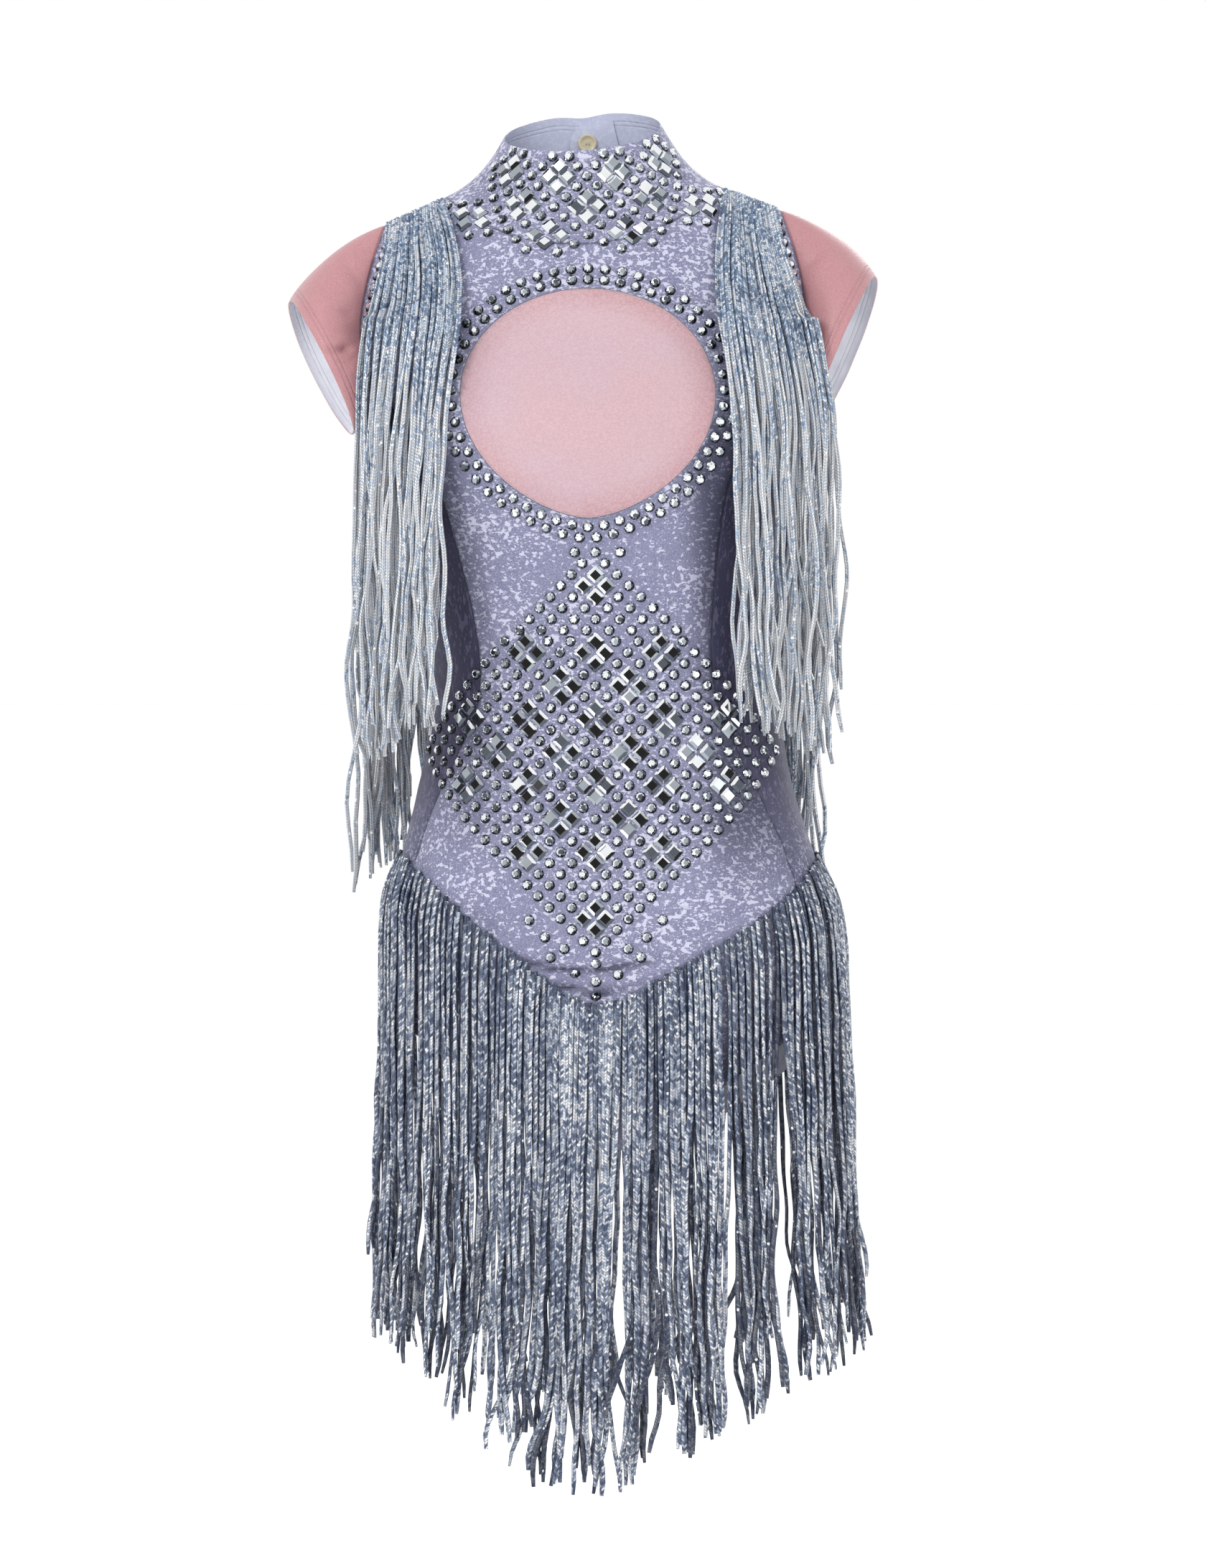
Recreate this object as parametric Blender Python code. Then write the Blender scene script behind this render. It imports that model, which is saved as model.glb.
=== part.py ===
"""A dance bodysuit, filled out as if worn: funnel collar, cap sleeves, chest inset and long fringe.

The cloth is one smooth surface worked out from a few tables. The surface is laid out as grids whose
edges are the seams, each grid belongs to one cut piece, and each piece becomes a thin closed wall.
The origin is midway between the shoulders. The front faces -Y and the wearer's left is at +X.
"""

import math
from collections import namedtuple

import bpy
from mathutils import Vector
from mathutils.bvhtree import BVHTree

MM = 0.001  # sizes below are in millimetres

# Cloth
CLOTH = 1.2
SEAM_GAP = 0.3

# Torso, read from the armhole down to the hips: half width, depth in front of and behind the side seam,
# sideways lean of the middle, and how far the section is turned towards -X, in degrees.
Section = namedtuple("Section", "height half_width front back centre turn")
TORSO = [
    Section(-90, 170, 96, 86, 0.0, 0.0),
    Section(-120, 170, 111, 92, 0.0, 0.0),
    Section(-155, 166, 123, 94, 0.0, 0.0),
    Section(-190, 157, 122, 91, 1.5, 0.5),
    Section(-225, 147, 110, 86, 4.0, 1.2),
    Section(-265, 137, 97, 79, 8.0, 2.2),
    Section(-310, 130, 89, 73, 12.0, 3.0),
    Section(-350, 128.5, 87, 71, 15.0, 3.7),
    Section(-395, 133, 90, 77, 16.5, 4.4),
    Section(-430, 140, 94, 86, 17.0, 5.0),
    Section(-470, 152, 98, 97, 18.5, 5.7),
    Section(-510, 162, 100, 108, 19.5, 6.3),
    Section(-550, 166, 99, 116, 20.5, 6.5),
    Section(-590, 163, 95, 118, 21.5, 6.5),
]
SQUARENESS = 2.3  # 2 is an ellipse

# Seams between the front, side and back panels: the angle from the centre front, and from the centre back
PanelSeam = namedtuple("PanelSeam", "height front_angle back_angle")
PANEL_SEAMS = [
    PanelSeam(-100, 68, 68),
    PanelSeam(-130, 57, 60),
    PanelSeam(-160, 47, 53),
    PanelSeam(-190, 41, 48),
    PanelSeam(-250, 39, 45),
    PanelSeam(-352, 39, 45),
    PanelSeam(-400, 49, 48),
    PanelSeam(-433, 57, 52),
    PanelSeam(-480, 62, 55),
    PanelSeam(-520, 62, 54),
    PanelSeam(-560, 58, 51),
]

# The right-hand shoulder stands a little higher: rise per millimetre to the side
Tilt = namedtuple("Tilt", "height rise")
TILTS = [Tilt(-200, 0.0), Tilt(-60, 0.041), Tilt(20, 0.041), Tilt(60, 0.085)]

# Heights
HIP_LINE = -560
CHEST_LINE = -100
ARMHOLE_DROP = 52  # how far the armhole's lowest point lies under the chest line

# Shoulder line and collar
SHOULDER_TIP = Vector((146, 0, -3))
NECK_POINT = Vector((101, 0, 16))
COLLAR_SEAM_FRONT = 75  # depth of the collar's lower seam at the centre front and centre back
COLLAR_SEAM_BACK = 52
COLLAR_SEAM_DIP = -26
COLLAR_SEAM_NAPE = 28
COLLAR_TOP_HALF_WIDTH = 58
COLLAR_TOP_FRONT = 52
COLLAR_TOP_BACK = 49
COLLAR_TOP_LOW = 43  # height of the top edge at the centre front and centre back
COLLAR_TOP_HIGH = 77
COLLAR_SEAM_CURVE = 2.4  # how late the seam rises on its way from the centre front to the shoulder
COLLAR_LEAVES = (0.42, 0.15)  # the funnel's curve: shares of the way inwards and upwards
COLLAR_ARRIVES = (0.8, 0.6)
NAPE_NOTCH_DEPTH = 3
NAPE_NOTCH_SPREAD = 14  # degrees

# Chest and upper back: how far the curve leaves the chest line and reaches the top edge, as shares
YOKE_BELOW = 12
YOKE_LEAVES = 0.42
YOKE_ARRIVES_DEEP = 0.36
YOKE_ARRIVES_HIGH = 0.06
YOKE_OVER_MIDDLE = 0.62  # how level the cloth comes over at the collar, and at the armhole
YOKE_OVER_ARMHOLE = 0.95

# Cap sleeve hem
HEM_TOP = Vector((216, 0, -55))
HEM_BOTTOM = Vector((170, 2, -160))
HEM_HALF_DEPTH = 52
HEM_SKEW = 9  # the back of the hem lies further out than the front
SLEEVE_CROWN = 10
SLEEVE_CROWN_UNDER = 0.15  # share of the crown that is left under the arm
SLEEVE_LEAVES = 0.34
SLEEVE_ARRIVES = 0.8
SLEEVE_SWELL = 1.5
HEM_CURVE = 1.1

# Briefs
LEG_TOP = -585  # height of the leg opening at the side
LEG_FRONT = (Vector((150, -592)), Vector((62, -652)))  # how the leg line curves, seen from the front
LEG_BACK = (Vector((158, -614)), Vector((82, -676)))
CROTCH_HALF_WIDTH = 33
CROTCH_HEIGHT = -690
LEG_SPACING = 1.4  # above 1 the lines crowd towards the side
CROTCH_ROUNDNESS = 2.2  # 2 is an ellipse
SIDE_ROUNDING = 0.6

# Window in the front panel
WINDOW_CENTRE = (4, -135)
WINDOW_HALF_WIDTH = 92
WINDOW_UP = 76
WINDOW_DOWN = 90
WINDOW_NARROWING = 1.25  # above 1 the lower half is more pointed
WINDOW_POINTS = 44
WINDOW_CUT = (-160, -20)  # the cutter reaches from in front of the chest into the hollow

# Grid lines in each lane, from the centre front round to the centre back
PANEL_LANES = 7
SIDE_LANES = 4
SHOULDER_LANES = 2
CROTCH_LANES = 3
TORSO_ROWS = 14
CHEST_ROWS = 7
BRIEF_ROWS = 6
COLLAR_ROWS = 5
SLEEVE_ROWS = 5

# Creases across the front above the crotch: where on the way from hip line to crotch, and how deep
Crease = namedtuple("Crease", "row depth half_width")
CREASES = [Crease(1, 2.2, 60), Crease(3, 1.6, 38)]

# Collar tab and button at the centre back
TAB_LEFT = -9
TAB_RIGHT = 24
TAB_LOW = 0.42  # share of the collar's height
TAB_HIGH = 0.9
TAB_END = 9  # length of the rounded end
TAB_COLUMNS = (TAB_LEFT, TAB_LEFT + 1.5, TAB_LEFT + 4, TAB_LEFT + 8, 0, 6, 12, 18, TAB_RIGHT)
BUTTON_RADIUS = 7
BUTTON_THICK = 3
BUTTON_EDGE = 0.8
BUTTON_SIDES = 20
BUTTON_X = 3
BUTTON_LIFT = 0.6  # the tab curves up towards its edge
BUTTON_SHARE = 0.65  # share of the collar's height

# Fringe
TAPE_HEIGHT = 6
TAPE_THICK = 1.2
TAPE_GAP = 0.4
SHOULDER_TAPE_GAP = 0.8  # the shoulder's cloth is more tightly curved under the tape
STRAND = 3.4
STRAND_DEPTH = 0.8  # as a share of its width
UNEVEN_LENGTH = 0.04
HIP_FRINGE_CENTRE = Vector((21, 0, 0))
HIP_FRINGE_LENGTH = 350
HIP_FRONT_STRANDS = 70
HIP_BACK_STRANDS = 58
HIP_FRONT_LOW = -580
HIP_BACK_LOW = -557
HIP_FRONT_SLOPES = (0.82, 0.69)  # on the -X side and on the +X side
HIP_BACK_SLOPES = (0.591, 0.579)
HIP_POINT_ASIDE = -11  # where the V's point lies in front, beside the fringe's centre
HIP_FLARE = 12
HIP_SPREAD = 160  # half the hips' width, and their depth in front and behind, for the V's shape
HIP_DEPTHS = (98, 112)
HIP_POINT = 22  # radius of the V's rounded point
HIP_LEVELS = (0.12, 0.5, 1)  # shares of a strand's length
HIP_RADIUS = 150  # a strand's width is turned into degrees at this radius
HIP_SWAY = 0.32  # of the distance between strands
LOOK_AHEAD = 0.1
STRAND_HALF_ANGLE = math.degrees(STRAND / 2 / HIP_RADIUS)
PROBE_STEP = 4
SHOULDER_STRANDS = 13
FRONT_FALL_ENDS = (-357, -392)  # heights of the inner and outer ends
BACK_FALL_ENDS = (-430, -488)
FALL_CLEARANCE = 2.5
DRAPE_CLEARANCE = 5
FALL_START = -80
DRAPE_CENTRE = -110  # height of the point inside the chest that the shoulder fringe drapes round
DRAPE_ANGLES = (4, 6.5, 17, 33, 55)
DRAPE_HEIGHTS = (20, 15, 0, -20, -60)  # about where those angles meet the cloth
FALL_HEIGHTS = (-100, -165)
FALL_AHEAD = 30
FALL_STEP = 6
FALL_UNEVEN = 14
STRAND_SHARE = 0.62  # share of its place in the row that a strand fills
OUTSIDE = 400  # farther from the middle than any cloth

# A strand's four corners: to the left or right, and on its inner or outer face
CORNERS = ((-1, 0), (1, 0), (1, 1), (-1, 1))

# Where the shoulder fringe's inner and outer edges run: height, then distance from the middle
Fan = namedtuple("Fan", "height left_inner left_outer right_inner right_outer")
FRONT_FAN = [
    Fan(20, 103, 144, 103, 142),
    Fan(-60, 87, 157, 96, 166),
    Fan(-160, 90, 165, 101, 184),
    Fan(-360, 98, 166, 106, 185),
]
BACK_FAN = [
    Fan(20, 103, 144, 103, 142),
    Fan(-60, 87, 157, 96, 162),
    Fan(-160, 90, 165, 100, 172),
    Fan(-360, 98, 168, 104, 170),
]

PALE_LILAC = (0.262, 0.254, 0.429)
DARK_LILAC = (0.045, 0.042, 0.091)
PINK = (0.610, 0.301, 0.328)
PALE_PINK = (0.672, 0.456, 0.515)
STEEL = (0.156, 0.223, 0.328)
CREAM = (0.578, 0.520, 0.304)


def blend(a, b, share):
    return a + (b - a) * share


def read(table, column, height):
    """A smooth curve through one column of a table that is sorted from high to low or low to high."""
    rows = sorted(table, key=lambda row: row.height)
    heights = [row.height for row in rows]
    values = [getattr(row, column) for row in rows]
    if height <= heights[0]:
        return values[0]
    if height >= heights[-1]:
        return values[-1]
    k = max(i for i, h in enumerate(heights) if h <= height)
    step = heights[k + 1] - heights[k]

    def slope(i):
        low, high = max(i - 1, 0), min(i + 1, len(rows) - 1)
        return (values[high] - values[low]) / (heights[high] - heights[low])

    t = (height - heights[k]) / step
    rise = values[k + 1] - values[k]
    start, end = slope(k) * step, slope(k + 1) * step
    return values[k] + t * start + t * t * (3 * rise - 2 * start - end) + t**3 * (start + end - 2 * rise)


def bezier(a, b, c, d, t):
    s = 1 - t
    return a * s**3 + b * 3 * s * s * t + c * 3 * s * t * t + d * t**3


def place(point):
    """A point of the upright, even garment, moved to where the lean, turn and tilt take it."""
    x, y, z = point
    turn = math.radians(read(TORSO, "turn", z))
    centre = read(TORSO, "centre", z)
    moved_x = centre + x * math.cos(turn) + y * math.sin(turn)
    moved_y = y * math.cos(turn) - x * math.sin(turn)
    return Vector((moved_x, moved_y, z + read(TILTS, "rise", z) * moved_x))


def torso(angle, height):
    """A point of the torso: angle 0 is the centre front, 90 the side at +X and 180 the centre back."""
    sine, cosine = math.sin(math.radians(angle)), math.cos(math.radians(angle))
    power = 2 / SQUARENESS
    depth = read(TORSO, "front" if cosine > 0 else "back", height)
    x = read(TORSO, "half_width", height) * math.copysign(abs(sine) ** power, sine)
    y = -depth * math.copysign(abs(cosine) ** power, cosine)
    return Vector((x, y, height))


def lane_angle(lane, height):
    """Lane 0 is the centre front, 1 and 3 are the panel seams, 2 is the side and 4 the centre back."""
    front = read(PANEL_SEAMS, "front_angle", height)
    back = 180 - read(PANEL_SEAMS, "back_angle", height)
    stops = [0, front, 90, back, 180]
    k = min(int(abs(lane)), 3)
    return math.copysign(blend(stops[k], stops[k + 1], abs(lane) - k), lane)


def torso_top(lane):
    """Height of the torso's top row, which dips under the arm."""
    reach = 1 - abs(abs(lane) - 2)
    return CHEST_LINE - ARMHOLE_DROP * math.sin(math.pi / 2 * max(reach, 0))


def lane_point(lane, height):
    return torso(lane_angle(lane, height), height)


def mirrored(point, lane):
    return Vector((math.copysign(1, lane) * point.x, point.y, point.z))


def collar_seam(angle):
    """The collar's lower seam, by angle from the centre front."""
    sine, cosine = math.sin(math.radians(angle)), math.cos(math.radians(angle))
    x = NECK_POINT.x * sine
    if cosine >= 0:
        rise = abs(sine) ** COLLAR_SEAM_CURVE
        return Vector((x, -COLLAR_SEAM_FRONT * cosine, blend(COLLAR_SEAM_DIP, NECK_POINT.z, rise)))
    return Vector((x, -COLLAR_SEAM_BACK * cosine, blend(NECK_POINT.z, COLLAR_SEAM_NAPE, cosine * cosine)))


def collar_top(angle):
    sine, cosine = math.sin(math.radians(angle)), math.cos(math.radians(angle))
    depth = COLLAR_TOP_FRONT if cosine >= 0 else COLLAR_TOP_BACK
    height = blend(COLLAR_TOP_HIGH, COLLAR_TOP_LOW, (1 + cosine) / 2)
    notch = NAPE_NOTCH_DEPTH * math.exp(-(((180 - abs(angle)) / NAPE_NOTCH_SPREAD) ** 2))
    return Vector((COLLAR_TOP_HALF_WIDTH * sine, -depth * cosine, height - notch))


def collar(angle, share):
    """A point of the collar, share 0 at its seam and 1 at its top edge; it flares like a funnel."""
    low, high = collar_seam(angle), collar_top(angle)
    span = high - low
    handles = []
    for inwards, upwards in (COLLAR_LEAVES, COLLAR_ARRIVES):
        handles.append(low + Vector((span.x * inwards, span.y * inwards, span.z * upwards)))
    return bezier(low, *handles, high, share)


def yoke_top(lane):
    """The top edge of the front (lane 0 to 1) or back (lane 4 to 3) panel: collar seam, then shoulder."""
    from_middle = abs(lane) if abs(lane) <= 1 else 4 - abs(lane)
    neck = 1 - SHOULDER_LANES / PANEL_LANES
    if from_middle >= neck:
        out = (from_middle - neck) / (1 - neck)
        return mirrored(NECK_POINT.lerp(SHOULDER_TIP, out), lane)
    angle = 90 * from_middle / neck
    return mirrored(collar_seam(angle if abs(lane) <= 1 else 180 - angle), lane)


def yoke(lane, share):
    """A point of the chest or upper back, share 0 at the chest line and 1 at the shoulder or collar."""
    low, high = lane_point(lane, CHEST_LINE), yoke_top(lane)
    below = lane_point(lane, CHEST_LINE - YOKE_BELOW)
    along = (low - below).normalized()
    rise = high.z - low.z
    from_middle = abs(lane) if abs(lane) <= 1 else 4 - abs(lane)
    over = blend(YOKE_OVER_MIDDLE, YOKE_OVER_ARMHOLE, from_middle)
    away = Vector((0, math.copysign(over, low.y), -math.sqrt(1 - over * over)))
    first = low + along * (YOKE_LEAVES * rise)
    second = high + away * (YOKE_ARRIVES_DEEP * abs(high.y - low.y) + YOKE_ARRIVES_HIGH * rise)
    return bezier(low, first, second, high, share)


def brief_end(lane):
    """Where a lane ends below, seen from the front: at the leg line, or at the crotch seam."""
    from_middle = abs(lane) if abs(lane) <= 2 else 4 - abs(lane)
    inner = CROTCH_LANES / PANEL_LANES
    corner = Vector((CROTCH_HALF_WIDTH, CROTCH_HEIGHT))
    if from_middle <= inner:
        return Vector((CROTCH_HALF_WIDTH * from_middle / inner, CROTCH_HEIGHT))
    share = ((2 - from_middle) / (2 - inner)) ** LEG_SPACING
    top = Vector((read(TORSO, "half_width", HIP_LINE), LEG_TOP))
    first, second = LEG_FRONT if abs(lane) <= 2 else LEG_BACK
    return bezier(top, first, second, corner, share)


def briefs(lane, share):
    """A point below the hip line, share 0 at the hip line and 1 at the leg line or crotch seam.
    The cloth rounds under to meet itself at the crotch, so its depth follows from where it is."""
    start, end = lane_point(lane, HIP_LINE), brief_end(lane)
    from_middle = abs(lane) if abs(lane) <= 2 else 4 - abs(lane)
    quarter = math.pi / 2 * max(0.05, 1 - SIDE_ROUNDING * from_middle)
    fall = math.sin(share * quarter) / math.sin(quarter)
    x = blend(abs(start.x), end.x, fall)
    z = blend(HIP_LINE, end.y, fall)
    width = read(TORSO, "half_width", HIP_LINE)
    depth = read(TORSO, "front" if abs(lane) <= 2 else "back", HIP_LINE)
    across = max(0, 1 - (x / width) ** SQUARENESS) ** (1 / SQUARENESS)
    down = min((HIP_LINE - z) / (HIP_LINE - CROTCH_HEIGHT), 1)
    under = max(0, 1 - down**CROTCH_ROUNDNESS) ** (1 / CROTCH_ROUNDNESS)
    side = -1 if abs(lane) <= 2 else 1
    return mirrored(Vector((x, side * depth * across * under, z)), lane)


def sleeve_hem(turn):
    """The sleeve's open hem, turn 0 at the top, 90 in front, 180 under the arm and 270 behind."""
    sine, cosine = math.sin(math.radians(turn)), math.cos(math.radians(turn))
    down = (1 - cosine) / 2
    x = HEM_TOP.x + (HEM_BOTTOM.x - HEM_TOP.x) * down**HEM_CURVE - HEM_SKEW * sine
    y = HEM_BOTTOM.y * down - HEM_HALF_DEPTH * sine
    return Vector((x, y, blend(HEM_TOP.z, HEM_BOTTOM.z, down)))


def sleeve(start, turn, share):
    """A point of the sleeve on the way from a point of the armhole to the hem; the crown is rounded."""
    end = sleeve_hem(turn)
    sine, cosine = math.sin(math.radians(turn)), math.cos(math.radians(turn))
    crown = SLEEVE_CROWN * blend(SLEEVE_CROWN_UNDER, 1, (1 + cosine) / 2)
    swell = Vector((0, -sine, cosine)) * crown
    first = start.lerp(end, SLEEVE_LEAVES) + swell
    second = start.lerp(end, SLEEVE_ARRIVES) + swell * SLEEVE_SWELL
    return bezier(start, first, second, end, share)


def steps(first, last, count):
    return [blend(first, last, i / count) for i in range(count + 1)]


def front_lanes():
    return steps(-1, 1, 2 * PANEL_LANES)


def back_lanes(side):
    return [side * lane for lane in steps(3, 4, PANEL_LANES)]


def side_lanes(side):
    return [side * lane for lane in steps(1, 3, 2 * SIDE_LANES)]


def column(lane, creased=False):
    """One grid line from the leg line or crotch up to the torso's top row."""
    below = [briefs(lane, share) for share in steps(1, 0, BRIEF_ROWS)]
    if creased:
        for crease in CREASES:
            point = below[BRIEF_ROWS - crease.row]
            fade = max(0, 1 - (point.x / crease.half_width) ** 2)
            point.y += crease.depth * fade
    top = torso_top(lane)
    above = [lane_point(lane, blend(HIP_LINE, top, share)) for share in steps(0, 1, TORSO_ROWS)]
    return below[:-1] + above


def tall_column(lane, creased=False):
    """The same line, carried on over the chest or back to the shoulder or collar."""
    upper = [yoke(lane, share) for share in steps(0, 1, CHEST_ROWS)]
    return column(lane, creased) + upper[1:]


def armhole(side):
    """The armhole from the shoulder tip down the front, under the arm and up the back."""
    front = [yoke(side, share) for share in steps(1, 0, CHEST_ROWS)]
    under = [lane_point(lane, torso_top(lane)) for lane in side_lanes(side)]
    back = [yoke(3 * side, share) for share in steps(0, 1, CHEST_ROWS)]
    return front + under[1:-1] + back


def sleeve_grid(side):
    """The sleeve's lines, one from each point of the armhole, all the way round."""
    loop = [mirrored(point, side) for point in armhole(side)]
    lengths = [0]
    for a, b in zip(loop, loop[1:]):
        lengths.append(lengths[-1] + (b - a).length)
    lines = []
    for start, length in zip(loop, lengths):
        turn = 360 * length / lengths[-1]
        line = [sleeve(start, turn, share) for share in steps(0, 1, SLEEVE_ROWS)]
        lines.append([mirrored(point, side) for point in line])
    return lines


def collar_grid():
    quarter = PANEL_LANES - SHOULDER_LANES
    angles = steps(-180, 180, 4 * quarter)
    return [[collar(angle, share) for share in steps(0, 1, COLLAR_ROWS)] for angle in angles]


class Shell:
    """The garment's outer surface: shared points, and the faces of each piece."""

    def __init__(self):
        self.points = []
        self.numbers = {}
        self.pieces = {}

    def number(self, point):
        key = tuple(round(c, 3) for c in point)
        if key not in self.numbers:
            self.numbers[key] = len(self.points)
            self.points.append(Vector(point))
        return self.numbers[key]

    def add(self, piece, lines, inside):
        """Faces between neighbouring lines, turned so that they face away from what inside gives."""
        faces, outward_share = [], 0
        for line, after in zip(lines, lines[1:]):
            for k in range(len(line) - 1):
                corners = [line[k], after[k], after[k + 1], line[k + 1]]
                ids = [self.number(place(point)) for point in corners]
                ids = [n for i, n in enumerate(ids) if n != ids[i - 1]]
                middle = sum((self.points[n] for n in ids), Vector()) / len(ids)
                outward_share += self.normal(ids).dot(middle - inside(middle))
                faces.append(ids)
        if outward_share < 0:
            faces = [ids[::-1] for ids in faces]
        self.pieces.setdefault(piece, []).extend(faces)

    def normal(self, ids):
        """The face's normal, as long as twice its area."""
        total = Vector()
        for k in range(1, len(ids) - 1):
            a, b, c = self.points[ids[0]], self.points[ids[k]], self.points[ids[k + 1]]
            total += (b - a).cross(c - a)
        return total

    def normals(self):
        found = [Vector() for _ in self.points]
        for faces in self.pieces.values():
            for ids in faces:
                for n in ids:
                    found[n] += self.normal(ids)
        return [normal.normalized() for normal in found]

    def tree(self):
        """For finding the cloth's place; a bent face counts folded along both of its diagonals."""
        faces = [ids for piece in self.pieces.values() for ids in piece]
        halves = [[ids[k - 1], ids[k], ids[(k + 1) % len(ids)]] for ids in faces for k in range(len(ids))]
        return BVHTree.FromPolygons(self.points, halves)


def torso_inside(middle):
    return Vector((read(TORSO, "centre", middle.z), 0, max(min(middle.z, -60), -600)))


def collar_inside(middle):
    return Vector((0, 0, middle.z - 20))


def sleeve_inside(middle):
    side = math.copysign(1, middle.x)
    share = min(max((abs(middle.x) - 150) / 66, 0), 1)
    return Vector((side * blend(140, 190, share), 0, -100))


def garment():
    shell = Shell()
    shell.add("front", [tall_column(lane, True) for lane in front_lanes()], torso_inside)
    for side, word in ((-1, "left"), (1, "right")):
        shell.add(f"side_{word}", [column(lane) for lane in side_lanes(side)], torso_inside)
        shell.add(f"back_{word}", [tall_column(lane) for lane in back_lanes(side)], torso_inside)
        shell.add(f"sleeve_{word}", sleeve_grid(side), sleeve_inside)
    shell.add("collar", collar_grid(), collar_inside)
    return shell


def rim_of(faces):
    """The directed edges that only one face has."""
    found = {(ids[k - 1], n) for ids in faces for k, n in enumerate(ids)}
    return [(a, b) for a, b in found if (b, a) not in found]


def thickened(faces, count):
    """A sheet's faces, the same faces count points further on and turned over, and the rim between."""
    result = list(faces)
    result += [[n + count for n in reversed(ids)] for ids in faces]
    result += [[b, a, a + count, b + count] for a, b in sorted(rim_of(faces))]
    return result


def drawn_in(shell, faces):
    """How far each point on a piece's edge moves into the piece, so that its seams stand apart."""
    rim = set(rim_of(faces))
    inward = {}
    for ids in faces:
        middle = sum((shell.points[n] for n in ids), Vector()) / len(ids)
        for k, b in enumerate(ids):
            a = ids[k - 1]
            if (a, b) not in rim:
                continue
            along = (shell.points[b] - shell.points[a]).normalized()
            towards = middle - (shell.points[a] + shell.points[b]) / 2
            towards = (towards - along * towards.dot(along)).normalized()
            inward.setdefault(a, []).append(towards)
            inward.setdefault(b, []).append(towards)
    moves = {}
    for n, ways in inward.items():
        total = sum(ways, Vector())
        if len(ways) > 1:
            total /= max(1 + ways[0].dot(ways[1]), 0.4)
        moves[n] = total * (SEAM_GAP / 2)
    return moves


def wall(shell, normals, piece):
    """Points and faces of a piece's closed wall."""
    faces = shell.pieces[piece]
    moves = drawn_in(shell, faces)
    used = sorted({n for ids in faces for n in ids})
    place_of = {n: k for k, n in enumerate(used)}
    points = []
    for lift in (0, CLOTH):
        for n in used:
            points.append(shell.points[n] - normals[n] * lift + moves.get(n, Vector()))
    return points, thickened([[place_of[n] for n in ids] for ids in faces], len(used))


def material(name, colour, roughness, metallic=0.0):
    made = bpy.data.materials.new(name)
    made.use_nodes = True
    shader = made.node_tree.nodes["Principled BSDF"]
    shader.inputs["Base Color"].default_value = (*colour, 1)
    shader.inputs["Roughness"].default_value = roughness
    shader.inputs["Metallic"].default_value = metallic
    return made


def solid(name, points, faces, look):
    mesh = bpy.data.meshes.new(name)
    mesh.from_pydata([point * MM for point in points], [], faces)
    mesh.materials.append(look)
    mesh.shade_smooth()
    mesh.set_sharp_from_angle(angle=math.radians(50))
    made = bpy.data.objects.new(name, mesh)
    bpy.context.scene.collection.objects.link(made)
    return made


def window_outline(grown):
    """The egg-shaped window, seen from the front, moved outwards by a distance."""
    outline = []
    for k in range(WINDOW_POINTS):
        turn = 2 * math.pi * k / WINDOW_POINTS
        sine, cosine = math.sin(turn), math.cos(turn)
        if cosine >= 0:
            x, z = (WINDOW_HALF_WIDTH + grown) * sine, (WINDOW_UP + grown) * cosine
        else:
            x = (WINDOW_HALF_WIDTH + grown) * math.copysign(abs(sine) ** WINDOW_NARROWING, sine)
            z = (WINDOW_DOWN + grown) * cosine
        outline.append((WINDOW_CENTRE[0] + x, WINDOW_CENTRE[1] + z))
    return outline


def window_cutter(name, grown):
    """A bar through the chest with the window's outline."""
    outline = window_outline(grown)
    near = [Vector((x, WINDOW_CUT[0], z)) for x, z in outline]
    far = [Vector((x, WINDOW_CUT[1], z)) for x, z in outline]
    count = len(outline)
    faces = [list(range(count))[::-1], [k + count for k in range(count)]]
    for k in range(count):
        after = (k + 1) % count
        faces.append([k, after, after + count, k + count])
    made = solid(name, near + far, faces, None)
    made.hide_render = True
    made.display_type = "WIRE"
    return made


def cut(piece, cutter, operation):
    modifier = piece.modifiers.new("window", "BOOLEAN")
    modifier.solver = "EXACT"
    modifier.operation = operation
    modifier.object = cutter


def build_panels(shell, normals, looks):
    for piece in shell.pieces:
        points, faces = wall(shell, normals, piece)
        made = solid(piece, points, faces, looks[piece.split("_")[0]])
        if piece == "front":
            cut(made, window_cutter("window_edge", SEAM_GAP / 2), "DIFFERENCE")
            inset = solid("inset", points, faces, looks["inset"])
            cut(inset, window_cutter("inset_edge", -SEAM_GAP / 2), "INTERSECT")


def collar_inner(shell, normals, x, share):
    """A point of the collar's inner face behind the neck, on its flat facets, and the way into the neck."""
    lines = collar_grid()
    quarter = PANEL_LANES - SHOULDER_LANES
    row = min(int(share * COLLAR_ROWS), COLLAR_ROWS - 1)
    up = share * COLLAR_ROWS - row
    back = lines[-quarter - 1 :] + lines[1 : quarter + 1]

    def at(line):
        found = []
        for k in (row, row + 1):
            n = shell.number(place(line[k]))
            found.append((shell.points[n] - normals[n] * CLOTH, -normals[n]))
        return found[0][0].lerp(found[1][0], up), found[0][1].lerp(found[1][1], up)

    stations = [at(line) for line in back]
    for (a, way_a), (b, way_b) in zip(stations, stations[1:]):
        if b.x <= x <= a.x:
            out = (x - a.x) / (b.x - a.x)
            return a.lerp(b, out), way_a.lerp(way_b, out).normalized()
    raise ValueError("the tab reaches past the back of the collar")


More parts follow.
